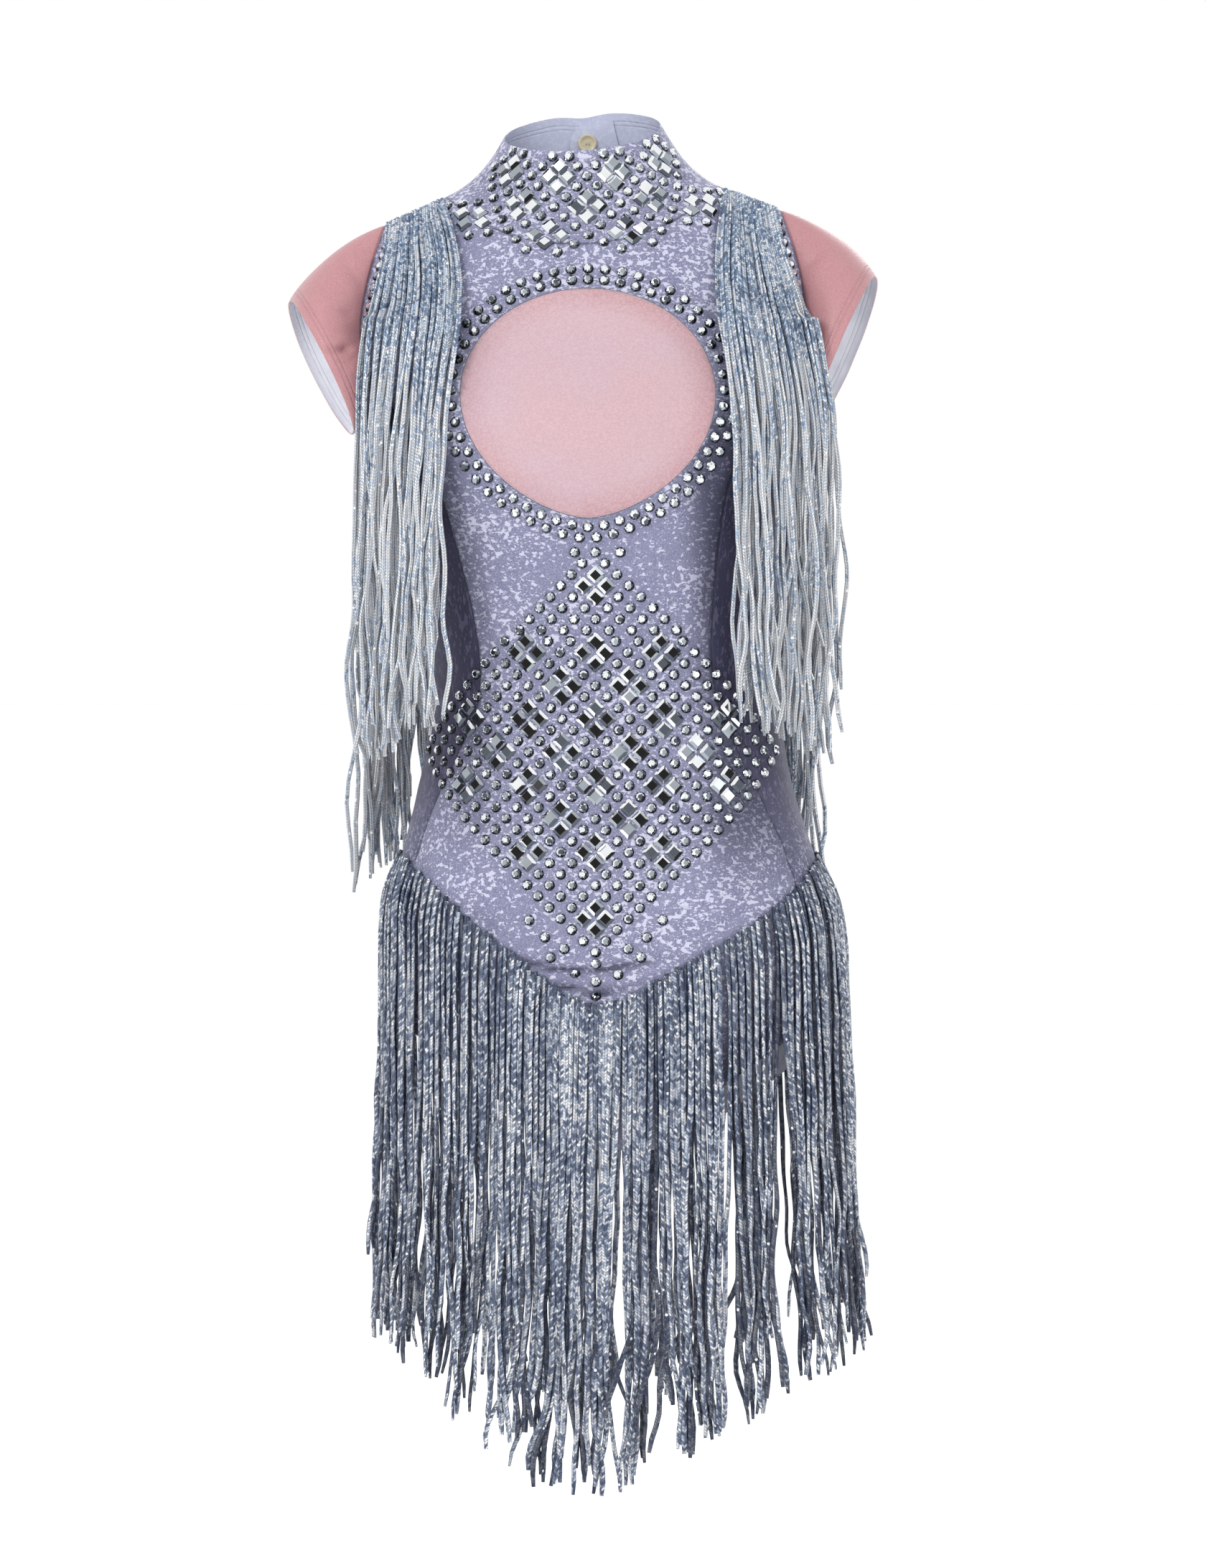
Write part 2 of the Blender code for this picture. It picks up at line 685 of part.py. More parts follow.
def build_tab(shell, normals, look):
    """The overlap at the centre back: sewn to the +X half of the collar, round at its free end."""
    middle = (TAB_LOW + TAB_HIGH) / 2
    half = (TAB_HIGH - TAB_LOW) / 2
    columns = []
    for x in TAB_COLUMNS:
        round_end = min((x - TAB_LEFT + 0.6) / TAB_END, 1)
        reach = half * math.sqrt(1 - (1 - round_end) ** 2)
        columns.append([(x, middle + reach * v) for v in (-1, -0.5, 0, 0.5, 1)])
    points = []
    for lift in (SEAM_GAP, SEAM_GAP + CLOTH):
        for stops in columns:
            for x, share in stops:
                at, way = collar_inner(shell, normals, x, share)
                points.append(at + way * lift)
    rows = len(columns[0])
    faces = []
    for i in range(len(columns) - 1):
        for k in range(rows - 1):
            a = i * rows + k
            faces.append([a, a + 1, a + rows + 1, a + rows])
    faces = thickened(faces, len(columns) * rows)
    return solid("collar_tab", points, outward(points, faces), look)


def outward(points, faces):
    """The faces of a closed solid, turned over together if they enclose a negative volume."""
    volume = 0
    for ids in faces:
        for k in range(1, len(ids) - 1):
            volume += points[ids[0]].dot(points[ids[k]].cross(points[ids[k + 1]]))
    return faces if volume > 0 else [ids[::-1] for ids in faces]


def build_button(shell, normals, look):
    """A plain round button with a rolled edge, on the tab."""
    seat, way = collar_inner(shell, normals, BUTTON_X, BUTTON_SHARE)
    seat = seat + way * (2 * SEAM_GAP + CLOTH + BUTTON_LIFT)
    across = way.cross(Vector((0, 0, 1))).normalized()
    up = across.cross(way)
    face = BUTTON_RADIUS - BUTTON_EDGE
    low, high = BUTTON_EDGE, BUTTON_THICK - BUTTON_EDGE
    rings = [(face, 0), (BUTTON_RADIUS, low), (BUTTON_RADIUS, high), (face, BUTTON_THICK)]
    sides = BUTTON_SIDES
    points, faces = [], []
    for radius, lift in rings:
        for k in range(sides):
            turn = 2 * math.pi * k / sides
            out = across * (radius * math.cos(turn)) + up * (radius * math.sin(turn))
            points.append(seat + out + way * lift)
    for ring in range(len(rings) - 1):
        for k in range(sides):
            a, b = ring * sides + k, ring * sides + (k + 1) % sides
            faces.append([a, b, b + sides, a + sides])
    faces.append(list(range(sides))[::-1])
    faces.append([k + (len(rings) - 1) * sides for k in range(sides)])
    return solid("button", points, outward(points, faces), look)


def fringe(name, strands, look):
    """A header tape with strands. Each strand is a list of levels, and each level is its four corners:
    inner left, inner right, outer right, outer left. The first two levels are the tape."""
    points, faces = [], []
    stations = []
    for levels in strands:
        for left in (True, False):
            inner, outer = (0, 3) if left else (1, 2)
            stations.append(len(points))
            for level in (0, 1):
                points += [levels[level][inner], levels[level][outer]]
    for k in range(len(stations) - 1):
        a, b = stations[k], stations[k + 1]
        faces.append([a, b, b + 1, a + 1])
        faces.append([a + 1, b + 1, b + 3, a + 3])
        faces.append([a + 2, b + 2, b, a])
        if k % 2:
            faces.append([a + 3, b + 3, b + 2, a + 2])
    for k, turned in ((0, False), (len(stations) - 1, True)):
        a = stations[k]
        end = [a, a + 1, a + 3, a + 2]
        faces.append(end[::-1] if turned else end)
    for i, levels in enumerate(strands):
        left, right = stations[2 * i], stations[2 * i + 1]
        ring = [left + 2, left + 3, right + 3, right + 2]
        for corners in levels[2:]:
            fresh = [len(points) + k for k in range(4)]
            points += [corners[0], corners[3], corners[2], corners[1]]
            for k in range(4):
                after = (k + 1) % 4
                faces.append([ring[k], ring[after], fresh[after], fresh[k]])
            ring = fresh
        faces.append(ring)
    return solid(name, points, outward(points, faces), look)


def wave(place_along, seed):
    """An even, repeatable wander between -1 and 1 that neighbours share."""
    return 0.6 * math.sin(0.9 * place_along + seed) + 0.4 * math.sin(2.3 * place_along + 2.1 * seed)


def uneven(number):
    """A repeatable value between 0 and 1 for one strand."""
    return (math.sin(number * 12.9898) * 43758.5453) % 1


def hip_line(angle, front):
    """Height of the hip fringe's tape, a V in front and a shallower one behind."""
    across, ahead = math.sin(math.radians(angle)), math.cos(math.radians(angle))
    depth = HIP_DEPTHS[0] if front else HIP_DEPTHS[1]
    power = abs(across / HIP_SPREAD) ** SQUARENESS + abs(ahead / depth) ** SQUARENESS
    beside = across * power ** (-1 / SQUARENESS) - (HIP_POINT_ASIDE if front else 0)
    rise = math.sqrt(beside * beside + HIP_POINT * HIP_POINT) - HIP_POINT
    slopes = HIP_FRONT_SLOPES if front else HIP_BACK_SLOPES
    slope = slopes[0] if beside < 0 else slopes[1]
    return (HIP_FRONT_LOW if front else HIP_BACK_LOW) + slope * rise


def on_hips(angle, reach, height):
    """A point at an angle, distance and height from the line that the skirt goes round."""
    way = Vector((math.sin(math.radians(angle)), -math.cos(math.radians(angle)), 0))
    return HIP_FRINGE_CENTRE + way * reach + Vector((0, 0, height))


def hip_radius(tree, angle, height):
    """How far the cloth reaches from the fringe's centre at one angle and height, or 0."""
    centre, far = on_hips(angle, 0, height), on_hips(angle, OUTSIDE, height)
    hit = tree.ray_cast(far, (centre - far).normalized(), OUTSIDE)[0]
    return (hit - centre).length if hit else 0


def hip_tape(tree, angle, height):
    """A level of the tape, which lies on the cloth."""
    corners = []
    for way, lift in CORNERS:
        turn = angle + way * STRAND_HALF_ANGLE
        reach = max(hip_radius(tree, turn, height), hip_radius(tree, turn, height - 2)) + TAPE_GAP
        corners.append(on_hips(turn, reach + lift * TAPE_THICK, height))
    return corners


def hip_strand(tree, angle, number, front, pitch):
    """One strand of the skirt: it hangs straight down from the widest place that it passes."""
    top = hip_line(angle, front) + TAPE_HEIGHT / 2
    length = HIP_FRINGE_LENGTH * blend(1 - UNEVEN_LENGTH, 1 + UNEVEN_LENGTH, uneven(number))
    levels = [hip_tape(tree, angle, top), hip_tape(tree, angle, top - TAPE_HEIGHT)]
    widest, passed = 0, top
    for k, share in enumerate(HIP_LEVELS):
        height = top - share * length
        while passed > max(height - LOOK_AHEAD * length, CROTCH_HEIGHT):
            passed -= PROBE_STEP
            for way in (-STRAND_HALF_ANGLE, STRAND_HALF_ANGLE):
                widest = max(widest, hip_radius(tree, angle + way, passed))
        reach = widest + FALL_CLEARANCE + HIP_FLARE * share**1.5
        turn = angle + HIP_SWAY * pitch * wave(number * 0.35, k) * share
        corners = []
        for way, lift in CORNERS:
            out = reach + lift * STRAND * STRAND_DEPTH
            corners.append(on_hips(turn + way * STRAND_HALF_ANGLE, out, height))
        levels.append(corners)
    return levels


def build_hip_fringe(tree, look):
    for name, count, start, front in (
        ("hip_fringe_front", HIP_FRONT_STRANDS, -90, True),
        ("hip_fringe_back", HIP_BACK_STRANDS, 90, False),
    ):
        pitch = 180 / count
        strands = []
        for k in range(count):
            angle = start + (k + 0.5) * pitch
            strands.append(hip_strand(tree, angle, k + (0 if front else 200), front, pitch))
        fringe(name, strands, look)


def fan_edge(side, way, edge, height):
    word = ("left" if side < 0 else "right") + ("_inner" if edge == 0 else "_outer")
    return side * read(FRONT_FAN if way < 0 else BACK_FAN, word, height)


def draped(tree, x, angle, lift):
    """A point over the shoulder, at an angle forward from upright (backward if negative)."""
    start = Vector((x, 0, DRAPE_CENTRE))
    way = Vector((0, -math.sin(math.radians(angle)), math.cos(math.radians(angle))))
    hit = tree.ray_cast(start + way * OUTSIDE, -way)[0]
    return (hit + way * lift) if hit else start + way * (100 + lift)


def fall_depth(tree, x, height, way):
    """How far forward (way -1) or backward (way 1) the cloth reaches at one place seen from there."""
    hit = tree.ray_cast(Vector((x, way * OUTSIDE, height)), Vector((0, -way, 0)))[0]
    return way * hit.y if hit else -OUTSIDE


def shoulder_strand(tree, side, way, share, number):
    """A strand from the shoulder, over the chest (way -1) or the back (way 1), then straight down."""
    ends = FRONT_FALL_ENDS if way < 0 else BACK_FALL_ENDS
    heights = [*DRAPE_HEIGHTS, *FALL_HEIGHTS, blend(FALL_HEIGHTS[-1], ends[0], 0.5)]
    heights.append(blend(ends[0], ends[1], share) + FALL_UNEVEN * (uneven(number) - 0.5))
    depth, passed, levels = 0, FALL_START, []
    for k, height in enumerate(heights):
        inner, outer = fan_edge(side, way, 0, height), fan_edge(side, way, 1, height)
        middle = blend(inner, outer, share)
        half = min(STRAND, STRAND_SHARE * abs(outer - inner) / SHOULDER_STRANDS) / 2
        thick = TAPE_THICK if k < 2 else 2 * half
        gap = SHOULDER_TAPE_GAP if k < 2 else DRAPE_CLEARANCE
        if k >= len(DRAPE_ANGLES):
            while passed > height - FALL_AHEAD:
                passed -= FALL_STEP
                for x in (middle - half, middle + half):
                    depth = max(depth, fall_depth(tree, x, passed, way) + gap)
        corners = []
        for beside, lift in CORNERS:
            x = middle + beside * half
            if k < len(DRAPE_ANGLES):
                corners.append(draped(tree, x, -way * DRAPE_ANGLES[k], gap + lift * thick))
            else:
                corners.append(Vector((x, way * (depth + lift * thick), height)))
        depth = max(depth, max(way * corner.y for corner in corners[:2]))
        levels.append(corners)
    return levels


def build_shoulder_fringes(tree, look):
    for side, word in ((-1, "left"), (1, "right")):
        for way, name in ((-1, "shoulder_fringe"), (1, "back_fringe")):
            shares = [(k + 0.5) / SHOULDER_STRANDS for k in range(SHOULDER_STRANDS)]
            if side < 0:
                shares.reverse()
            numbers = enumerate(shares, 400 + 50 * side + 20 * way)
            strands = [shoulder_strand(tree, side, way, share, number) for number, share in numbers]
            fringe(f"{name}_{word}", strands, look)


def main():
    for old in list(bpy.data.objects):
        bpy.data.objects.remove(old)
    looks = {
        "front": material("print_pale", PALE_LILAC, 0.62),
        "back": material("print_back", PALE_LILAC, 0.62),
        "side": material("print_dark", DARK_LILAC, 0.62),
        "collar": material("print_collar", PALE_LILAC, 0.62),
        "sleeve": material("pink_satin", PINK, 0.45),
        "inset": material("pink_inset", PALE_PINK, 0.6),
        "fringe": material("fringe_cord", STEEL, 0.4, 0.3),
        "button": material("button_cream", CREAM, 0.3),
    }
    shell = garment()
    normals = shell.normals()
    build_panels(shell, normals, looks)
    build_tab(shell, normals, looks["collar"])
    build_button(shell, normals, looks["button"])
    tree = shell.tree()
    build_hip_fringe(tree, looks["fringe"])
    build_shoulder_fringes(tree, looks["fringe"])


main()
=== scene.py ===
"""The looks of the dance bodysuit: printed stretch knit, satin sleeves, mirror stones and chain fringe.

Sizes are in millimetres and become metres where a mesh is made. The cloth follows the same smooth
surface as the solids, laid out in finer grids, with listed creases pressed into it.
"""

import math
import random
from collections import namedtuple
from functools import lru_cache

import bpy
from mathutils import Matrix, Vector
from mathutils.bvhtree import BVHTree
from mathutils.kdtree import KDTree


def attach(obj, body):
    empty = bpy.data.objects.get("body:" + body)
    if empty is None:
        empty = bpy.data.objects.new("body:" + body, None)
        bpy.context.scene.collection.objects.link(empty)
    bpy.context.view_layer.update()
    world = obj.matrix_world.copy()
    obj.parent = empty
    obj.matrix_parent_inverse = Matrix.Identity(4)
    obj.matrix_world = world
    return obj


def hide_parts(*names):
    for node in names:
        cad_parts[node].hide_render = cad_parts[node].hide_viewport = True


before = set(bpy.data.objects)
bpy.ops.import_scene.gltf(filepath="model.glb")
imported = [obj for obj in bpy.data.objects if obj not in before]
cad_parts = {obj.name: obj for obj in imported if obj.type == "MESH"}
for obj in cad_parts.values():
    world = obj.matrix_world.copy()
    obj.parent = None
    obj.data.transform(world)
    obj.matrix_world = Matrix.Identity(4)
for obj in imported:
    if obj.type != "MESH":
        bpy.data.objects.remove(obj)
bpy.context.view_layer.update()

MM = 0.001

# Cloth
CLOTH = 1.2
SEAM_GAP = 0.3

# Torso, read from the armhole down to the hips: half width, depth in front of and behind the side seam,
# sideways lean of the middle, and how far the section is turned towards -X, in degrees.
Section = namedtuple("Section", "height half_width front back centre turn")
TORSO = (
    Section(-90, 170, 96, 86, 0.0, 0.0),
    Section(-120, 170, 111, 92, 0.0, 0.0),
    Section(-155, 166, 123, 94, 0.0, 0.0),
    Section(-190, 157, 122, 91, 1.5, 0.5),
    Section(-225, 147, 110, 86, 4.0, 1.2),
    Section(-265, 137, 97, 79, 8.0, 2.2),
    Section(-310, 130, 89, 73, 12.0, 3.0),
    Section(-350, 128.5, 87, 71, 15.0, 3.7),
    Section(-395, 133, 90, 77, 16.5, 4.4),
    Section(-430, 140, 94, 86, 17.0, 5.0),
    Section(-470, 152, 98, 97, 18.5, 5.7),
    Section(-510, 162, 100, 108, 19.5, 6.3),
    Section(-550, 166, 99, 116, 20.5, 6.5),
    Section(-590, 163, 95, 118, 21.5, 6.5),
)
SQUARENESS = 2.3  # 2 is an ellipse

# Seams between the front, side and back panels: the angle from the centre front, and from the centre back
PanelSeam = namedtuple("PanelSeam", "height front_angle back_angle")
PANEL_SEAMS = (
    PanelSeam(-100, 68, 68),
    PanelSeam(-130, 57, 60),
    PanelSeam(-160, 47, 53),
    PanelSeam(-190, 41, 48),
    PanelSeam(-250, 39, 45),
    PanelSeam(-352, 39, 45),
    PanelSeam(-400, 49, 48),
    PanelSeam(-433, 57, 52),
    PanelSeam(-480, 62, 55),
    PanelSeam(-520, 62, 54),
    PanelSeam(-560, 58, 51),
)

# The right-hand shoulder stands a little higher: rise per millimetre to the side
Tilt = namedtuple("Tilt", "height rise")
TILTS = (Tilt(-200, 0.0), Tilt(-60, 0.041), Tilt(20, 0.041), Tilt(60, 0.085))

# Heights
HIP_LINE = -560
CHEST_LINE = -100
ARMHOLE_DROP = 52  # how far the armhole's lowest point lies under the chest line

# Shoulder line and collar
SHOULDER_TIP = Vector((146, 0, -3))
NECK_POINT = Vector((101, 0, 16))
COLLAR_SEAM_FRONT = 75  # depth of the collar's lower seam at the centre front and centre back
COLLAR_SEAM_BACK = 52
COLLAR_SEAM_DIP = -26
COLLAR_SEAM_NAPE = 28
COLLAR_TOP_HALF_WIDTH = 58
COLLAR_TOP_FRONT = 52
COLLAR_TOP_BACK = 49
COLLAR_TOP_LOW = 43  # height of the top edge at the centre front and centre back
COLLAR_TOP_HIGH = 77
COLLAR_SEAM_CURVE = 2.4  # how late the seam rises on its way from the centre front to the shoulder
COLLAR_LEAVES = (0.42, 0.15)  # the funnel's curve: shares of the way inwards and upwards
COLLAR_ARRIVES = (0.8, 0.6)
NAPE_NOTCH_DEPTH = 3
NAPE_NOTCH_SPREAD = 14  # degrees

# Chest and upper back: how far the curve leaves the chest line and reaches the top edge, as shares
YOKE_BELOW = 12
YOKE_LEAVES = 0.42
YOKE_ARRIVES_DEEP = 0.36
YOKE_ARRIVES_HIGH = 0.06
YOKE_OVER_MIDDLE = 0.62  # how level the cloth comes over at the collar, and at the armhole
YOKE_OVER_ARMHOLE = 0.95

# Cap sleeve hem
HEM_TOP = Vector((216, 0, -55))
HEM_BOTTOM = Vector((170, 2, -160))
HEM_HALF_DEPTH = 52
HEM_SKEW = 9  # the back of the hem lies further out than the front
SLEEVE_CROWN = 10
SLEEVE_CROWN_UNDER = 0.15  # share of the crown that is left under the arm
SLEEVE_LEAVES = 0.34
SLEEVE_ARRIVES = 0.8
SLEEVE_SWELL = 1.5
HEM_CURVE = 1.1

# Briefs
LEG_TOP = -585  # height of the leg opening at the side
LEG_FRONT = (Vector((150, -592)), Vector((62, -652)))  # how the leg line curves, seen from the front
LEG_BACK = (Vector((158, -614)), Vector((82, -676)))
CROTCH_HALF_WIDTH = 33
CROTCH_HEIGHT = -690
LEG_SPACING = 1.4  # above 1 the lines crowd towards the side
CROTCH_ROUNDNESS = 2.2  # 2 is an ellipse
SIDE_ROUNDING = 0.6

# Window in the front panel
WINDOW_CENTRE = (4, -135)
WINDOW_HALF_WIDTH = 92
WINDOW_UP = 76
WINDOW_DOWN = 90
WINDOW_NARROWING = 1.25  # above 1 the lower half is more pointed
WINDOW_POINTS = 176
WINDOW_CUT = (-160, -20)  # the cutter reaches from in front of the chest into the hollow

# Grid lines in each lane, from the centre front round to the centre back
PANEL_LANES = 35
SIDE_LANES = 20
SHOULDER_LANES = 10
CROTCH_LANES = 15
TORSO_ROWS = 150
CHEST_ROWS = 42
BRIEF_ROWS = 48
COLLAR_ROWS = 20
SLEEVE_ROWS = 24

# Collar tab and button at the centre back
TAB_LEFT = -9
TAB_RIGHT = 24
TAB_LOW = 0.42  # share of the collar's height
TAB_HIGH = 0.9
TAB_END = 9  # length of the rounded end
COLLAR_RADIUS = 62  # behind the neck
BUTTON_RADIUS = 7
BUTTON_X = 3
BUTTON_SHARE = 0.65  # share of the collar's height

# Fringe
TAPE_HEIGHT = 6
TAPE_IN, TAPE_OUT = 0.4, 1.3  # its two faces' distances from the cloth
HIP_FRINGE_CENTRE = Vector((21, 0, 0))
HIP_FRINGE_LENGTH = 350
HIP_FRONT_LOW = -580
HIP_BACK_LOW = -557
HIP_FRONT_SLOPES = (0.82, 0.69)  # on the -X side and on the +X side
HIP_BACK_SLOPES = (0.591, 0.579)
HIP_POINT_ASIDE = -11  # where the V's point lies in front, beside the fringe's centre
HIP_FLARE = 9
HIP_SPREAD = 160  # half the hips' width, and their depth in front and behind, for the V's shape
HIP_DEPTHS = (98, 112)
HIP_POINT = 22  # radius of the V's rounded point
HIP_RADIUS = 150  # a strand's width is turned into degrees at this radius
FRONT_FALL_ENDS = (-357, -392)  # heights of the inner and outer ends
BACK_FALL_ENDS = (-430, -492)
FALL_START = -80
DRAPE_CENTRE = -110  # height of the point inside the chest that the shoulder fringe drapes round
FALL_AHEAD = 30
FALL_STEP = 6
OUTSIDE = 400  # farther from the middle than any cloth

# Where the shoulder fringe's inner and outer edges run: height, then distance from the middle
Fan = namedtuple("Fan", "height left_inner left_outer right_inner right_outer")
FRONT_FAN = (
    Fan(20, 103, 144, 103, 142),
    Fan(-60, 88, 157, 97, 166),
    Fan(-160, 99, 165, 108, 184),
    Fan(-360, 106, 166, 113, 185),
)
BACK_FAN = (
    Fan(20, 103, 144, 103, 142),
    Fan(-60, 87, 157, 96, 162),
    Fan(-160, 90, 165, 100, 172),
    Fan(-360, 98, 168, 104, 170),
)


def blend(a, b, share):
    return a + (b - a) * share


def sine_cosine(degrees):
    return math.sin(math.radians(degrees)), math.cos(math.radians(degrees))


def lanes_out(lane, last):
    """How many lanes out from the centre front, or past the last of those, from the centre back."""
    return abs(lane) if abs(lane) <= last else 4 - abs(lane)


def lengths_along(path):
    lengths = [0]
    for a, b in zip(path, path[1:]):
        lengths.append(lengths[-1] + (b - a).length)
    return lengths


@lru_cache(maxsize=None)
def read(table, column, height):
    """A smooth curve through one column of a table that is sorted from high to low or low to high."""
    rows = sorted(table, key=lambda row: row.height)
    heights = [row.height for row in rows]
    values = [getattr(row, column) for row in rows]
    if height <= heights[0]:
        return values[0]
    if height >= heights[-1]:
        return values[-1]
    k = max(i for i, h in enumerate(heights) if h <= height)
    step = heights[k + 1] - heights[k]

    def slope(i):
        low, high = max(i - 1, 0), min(i + 1, len(rows) - 1)
        return (values[high] - values[low]) / (heights[high] - heights[low])

    t = (height - heights[k]) / step
    rise = values[k + 1] - values[k]
    start, end = slope(k) * step, slope(k + 1) * step
    return values[k] + t * start + t * t * (3 * rise - 2 * start - end) + t**3 * (start + end - 2 * rise)


def bezier(a, b, c, d, t):
    s = 1 - t
    return a * s**3 + b * 3 * s * s * t + c * 3 * s * t * t + d * t**3


def place(point):
    """A point of the upright, even garment, moved to where the lean, turn and tilt take it."""
    x, y, z = point
    turn = math.radians(read(TORSO, "turn", z))
    centre = read(TORSO, "centre", z)
    moved_x = centre + x * math.cos(turn) + y * math.sin(turn)
    moved_y = y * math.cos(turn) - x * math.sin(turn)
    return Vector((moved_x, moved_y, z + read(TILTS, "rise", z) * moved_x))


def torso(angle, height):
    """A point of the torso: angle 0 is the centre front, 90 the side at +X and 180 the centre back."""
    sine, cosine = sine_cosine(angle)
    power = 2 / SQUARENESS
    depth = read(TORSO, "front" if cosine > 0 else "back", height)
    x = read(TORSO, "half_width", height) * math.copysign(abs(sine) ** power, sine)
    y = -depth * math.copysign(abs(cosine) ** power, cosine)
    return Vector((x, y, height))


def lane_angle(lane, height):
    """Lane 0 is the centre front, 1 and 3 are the panel seams, 2 is the side and 4 the centre back."""
    front = read(PANEL_SEAMS, "front_angle", height)
    back = 180 - read(PANEL_SEAMS, "back_angle", height)
    stops = [0, front, 90, back, 180]
    k = min(int(abs(lane)), 3)
    return math.copysign(blend(stops[k], stops[k + 1], abs(lane) - k), lane)


def torso_top(lane):
    """Height of the torso's top row, which dips under the arm."""
    reach = 1 - abs(abs(lane) - 2)
    return CHEST_LINE - ARMHOLE_DROP * math.sin(math.pi / 2 * max(reach, 0))


def lane_point(lane, height):
    return torso(lane_angle(lane, height), height)


def mirrored(point, lane):
    return Vector((math.copysign(1, lane) * point.x, point.y, point.z))


def collar_seam(angle):
    """The collar's lower seam, by angle from the centre front."""
    sine, cosine = sine_cosine(angle)
    x = NECK_POINT.x * sine
    if cosine >= 0:
        rise = abs(sine) ** COLLAR_SEAM_CURVE
        return Vector((x, -COLLAR_SEAM_FRONT * cosine, blend(COLLAR_SEAM_DIP, NECK_POINT.z, rise)))
    return Vector((x, -COLLAR_SEAM_BACK * cosine, blend(NECK_POINT.z, COLLAR_SEAM_NAPE, cosine * cosine)))


def collar_top(angle):
    sine, cosine = sine_cosine(angle)
    depth = COLLAR_TOP_FRONT if cosine >= 0 else COLLAR_TOP_BACK
    height = blend(COLLAR_TOP_HIGH, COLLAR_TOP_LOW, (1 + cosine) / 2)
    notch = NAPE_NOTCH_DEPTH * math.exp(-(((180 - abs(angle)) / NAPE_NOTCH_SPREAD) ** 2))
    return Vector((COLLAR_TOP_HALF_WIDTH * sine, -depth * cosine, height - notch))


def collar(angle, share):
    """A point of the collar, share 0 at its seam and 1 at its top edge; it flares like a funnel."""
    low, high = collar_seam(angle), collar_top(angle)
    span = high - low
    handles = []
    for inwards, upwards in (COLLAR_LEAVES, COLLAR_ARRIVES):
        handles.append(low + Vector((span.x * inwards, span.y * inwards, span.z * upwards)))
    return bezier(low, *handles, high, share)


def yoke_top(lane):
    """The top edge of the front (lane 0 to 1) or back (lane 4 to 3) panel: collar seam, then shoulder."""
    from_middle = lanes_out(lane, 1)
    neck = 1 - SHOULDER_LANES / PANEL_LANES
    if from_middle >= neck:
        out = (from_middle - neck) / (1 - neck)
        return mirrored(NECK_POINT.lerp(SHOULDER_TIP, out), lane)
    angle = 90 * from_middle / neck
    return mirrored(collar_seam(angle if abs(lane) <= 1 else 180 - angle), lane)


def yoke(lane, share):
    """A point of the chest or upper back, share 0 at the chest line and 1 at the shoulder or collar."""
    low, high = lane_point(lane, CHEST_LINE), yoke_top(lane)
    below = lane_point(lane, CHEST_LINE - YOKE_BELOW)
    along = (low - below).normalized()
    rise = high.z - low.z
    from_middle = lanes_out(lane, 1)
    over = blend(YOKE_OVER_MIDDLE, YOKE_OVER_ARMHOLE, from_middle)
    away = Vector((0, math.copysign(over, low.y), -math.sqrt(1 - over * over)))
    first = low + along * (YOKE_LEAVES * rise)
    second = high + away * (YOKE_ARRIVES_DEEP * abs(high.y - low.y) + YOKE_ARRIVES_HIGH * rise)
    return bezier(low, first, second, high, share)


def brief_end(lane):
    """Where a lane ends below, seen from the front: at the leg line, or at the crotch seam."""
    from_middle = lanes_out(lane, 2)
    inner = CROTCH_LANES / PANEL_LANES
    corner = Vector((CROTCH_HALF_WIDTH, CROTCH_HEIGHT))
    if from_middle <= inner:
        return Vector((CROTCH_HALF_WIDTH * from_middle / inner, CROTCH_HEIGHT))
    share = ((2 - from_middle) / (2 - inner)) ** LEG_SPACING
    top = Vector((read(TORSO, "half_width", HIP_LINE), LEG_TOP))
    first, second = LEG_FRONT if abs(lane) <= 2 else LEG_BACK
    return bezier(top, first, second, corner, share)


def briefs(lane, share):
    """A point below the hip line, share 0 at the hip line and 1 at the leg line or crotch seam.
    The cloth rounds under to meet itself at the crotch, so its depth follows from where it is."""
    start, end = lane_point(lane, HIP_LINE), brief_end(lane)
    from_middle = lanes_out(lane, 2)
    quarter = math.pi / 2 * max(0.05, 1 - SIDE_ROUNDING * from_middle)
    fall = math.sin(share * quarter) / math.sin(quarter)
    x = blend(abs(start.x), end.x, fall)
    z = blend(HIP_LINE, end.y, fall)
    width = read(TORSO, "half_width", HIP_LINE)
    depth = read(TORSO, "front" if abs(lane) <= 2 else "back", HIP_LINE)
    across = max(0, 1 - (x / width) ** SQUARENESS) ** (1 / SQUARENESS)
    down = min((HIP_LINE - z) / (HIP_LINE - CROTCH_HEIGHT), 1)
    under = max(0, 1 - down**CROTCH_ROUNDNESS) ** (1 / CROTCH_ROUNDNESS)
    side = -1 if abs(lane) <= 2 else 1
    return mirrored(Vector((x, side * depth * across * under, z)), lane)


def sleeve_hem(turn):
    """The sleeve's open hem, turn 0 at the top, 90 in front, 180 under the arm and 270 behind."""
    sine, cosine = sine_cosine(turn)
    down = (1 - cosine) / 2
    x = HEM_TOP.x + (HEM_BOTTOM.x - HEM_TOP.x) * down**HEM_CURVE - HEM_SKEW * sine
    y = HEM_BOTTOM.y * down - HEM_HALF_DEPTH * sine
    return Vector((x, y, blend(HEM_TOP.z, HEM_BOTTOM.z, down)))


def sleeve(start, turn, share):
    """A point of the sleeve on the way from a point of the armhole to the hem; the crown is rounded."""
    end = sleeve_hem(turn)
    sine, cosine = sine_cosine(turn)
    crown = SLEEVE_CROWN * blend(SLEEVE_CROWN_UNDER, 1, (1 + cosine) / 2)
    swell = Vector((0, -sine, cosine)) * crown
    first = start.lerp(end, SLEEVE_LEAVES) + swell
    second = start.lerp(end, SLEEVE_ARRIVES) + swell * SLEEVE_SWELL
    return bezier(start, first, second, end, share)


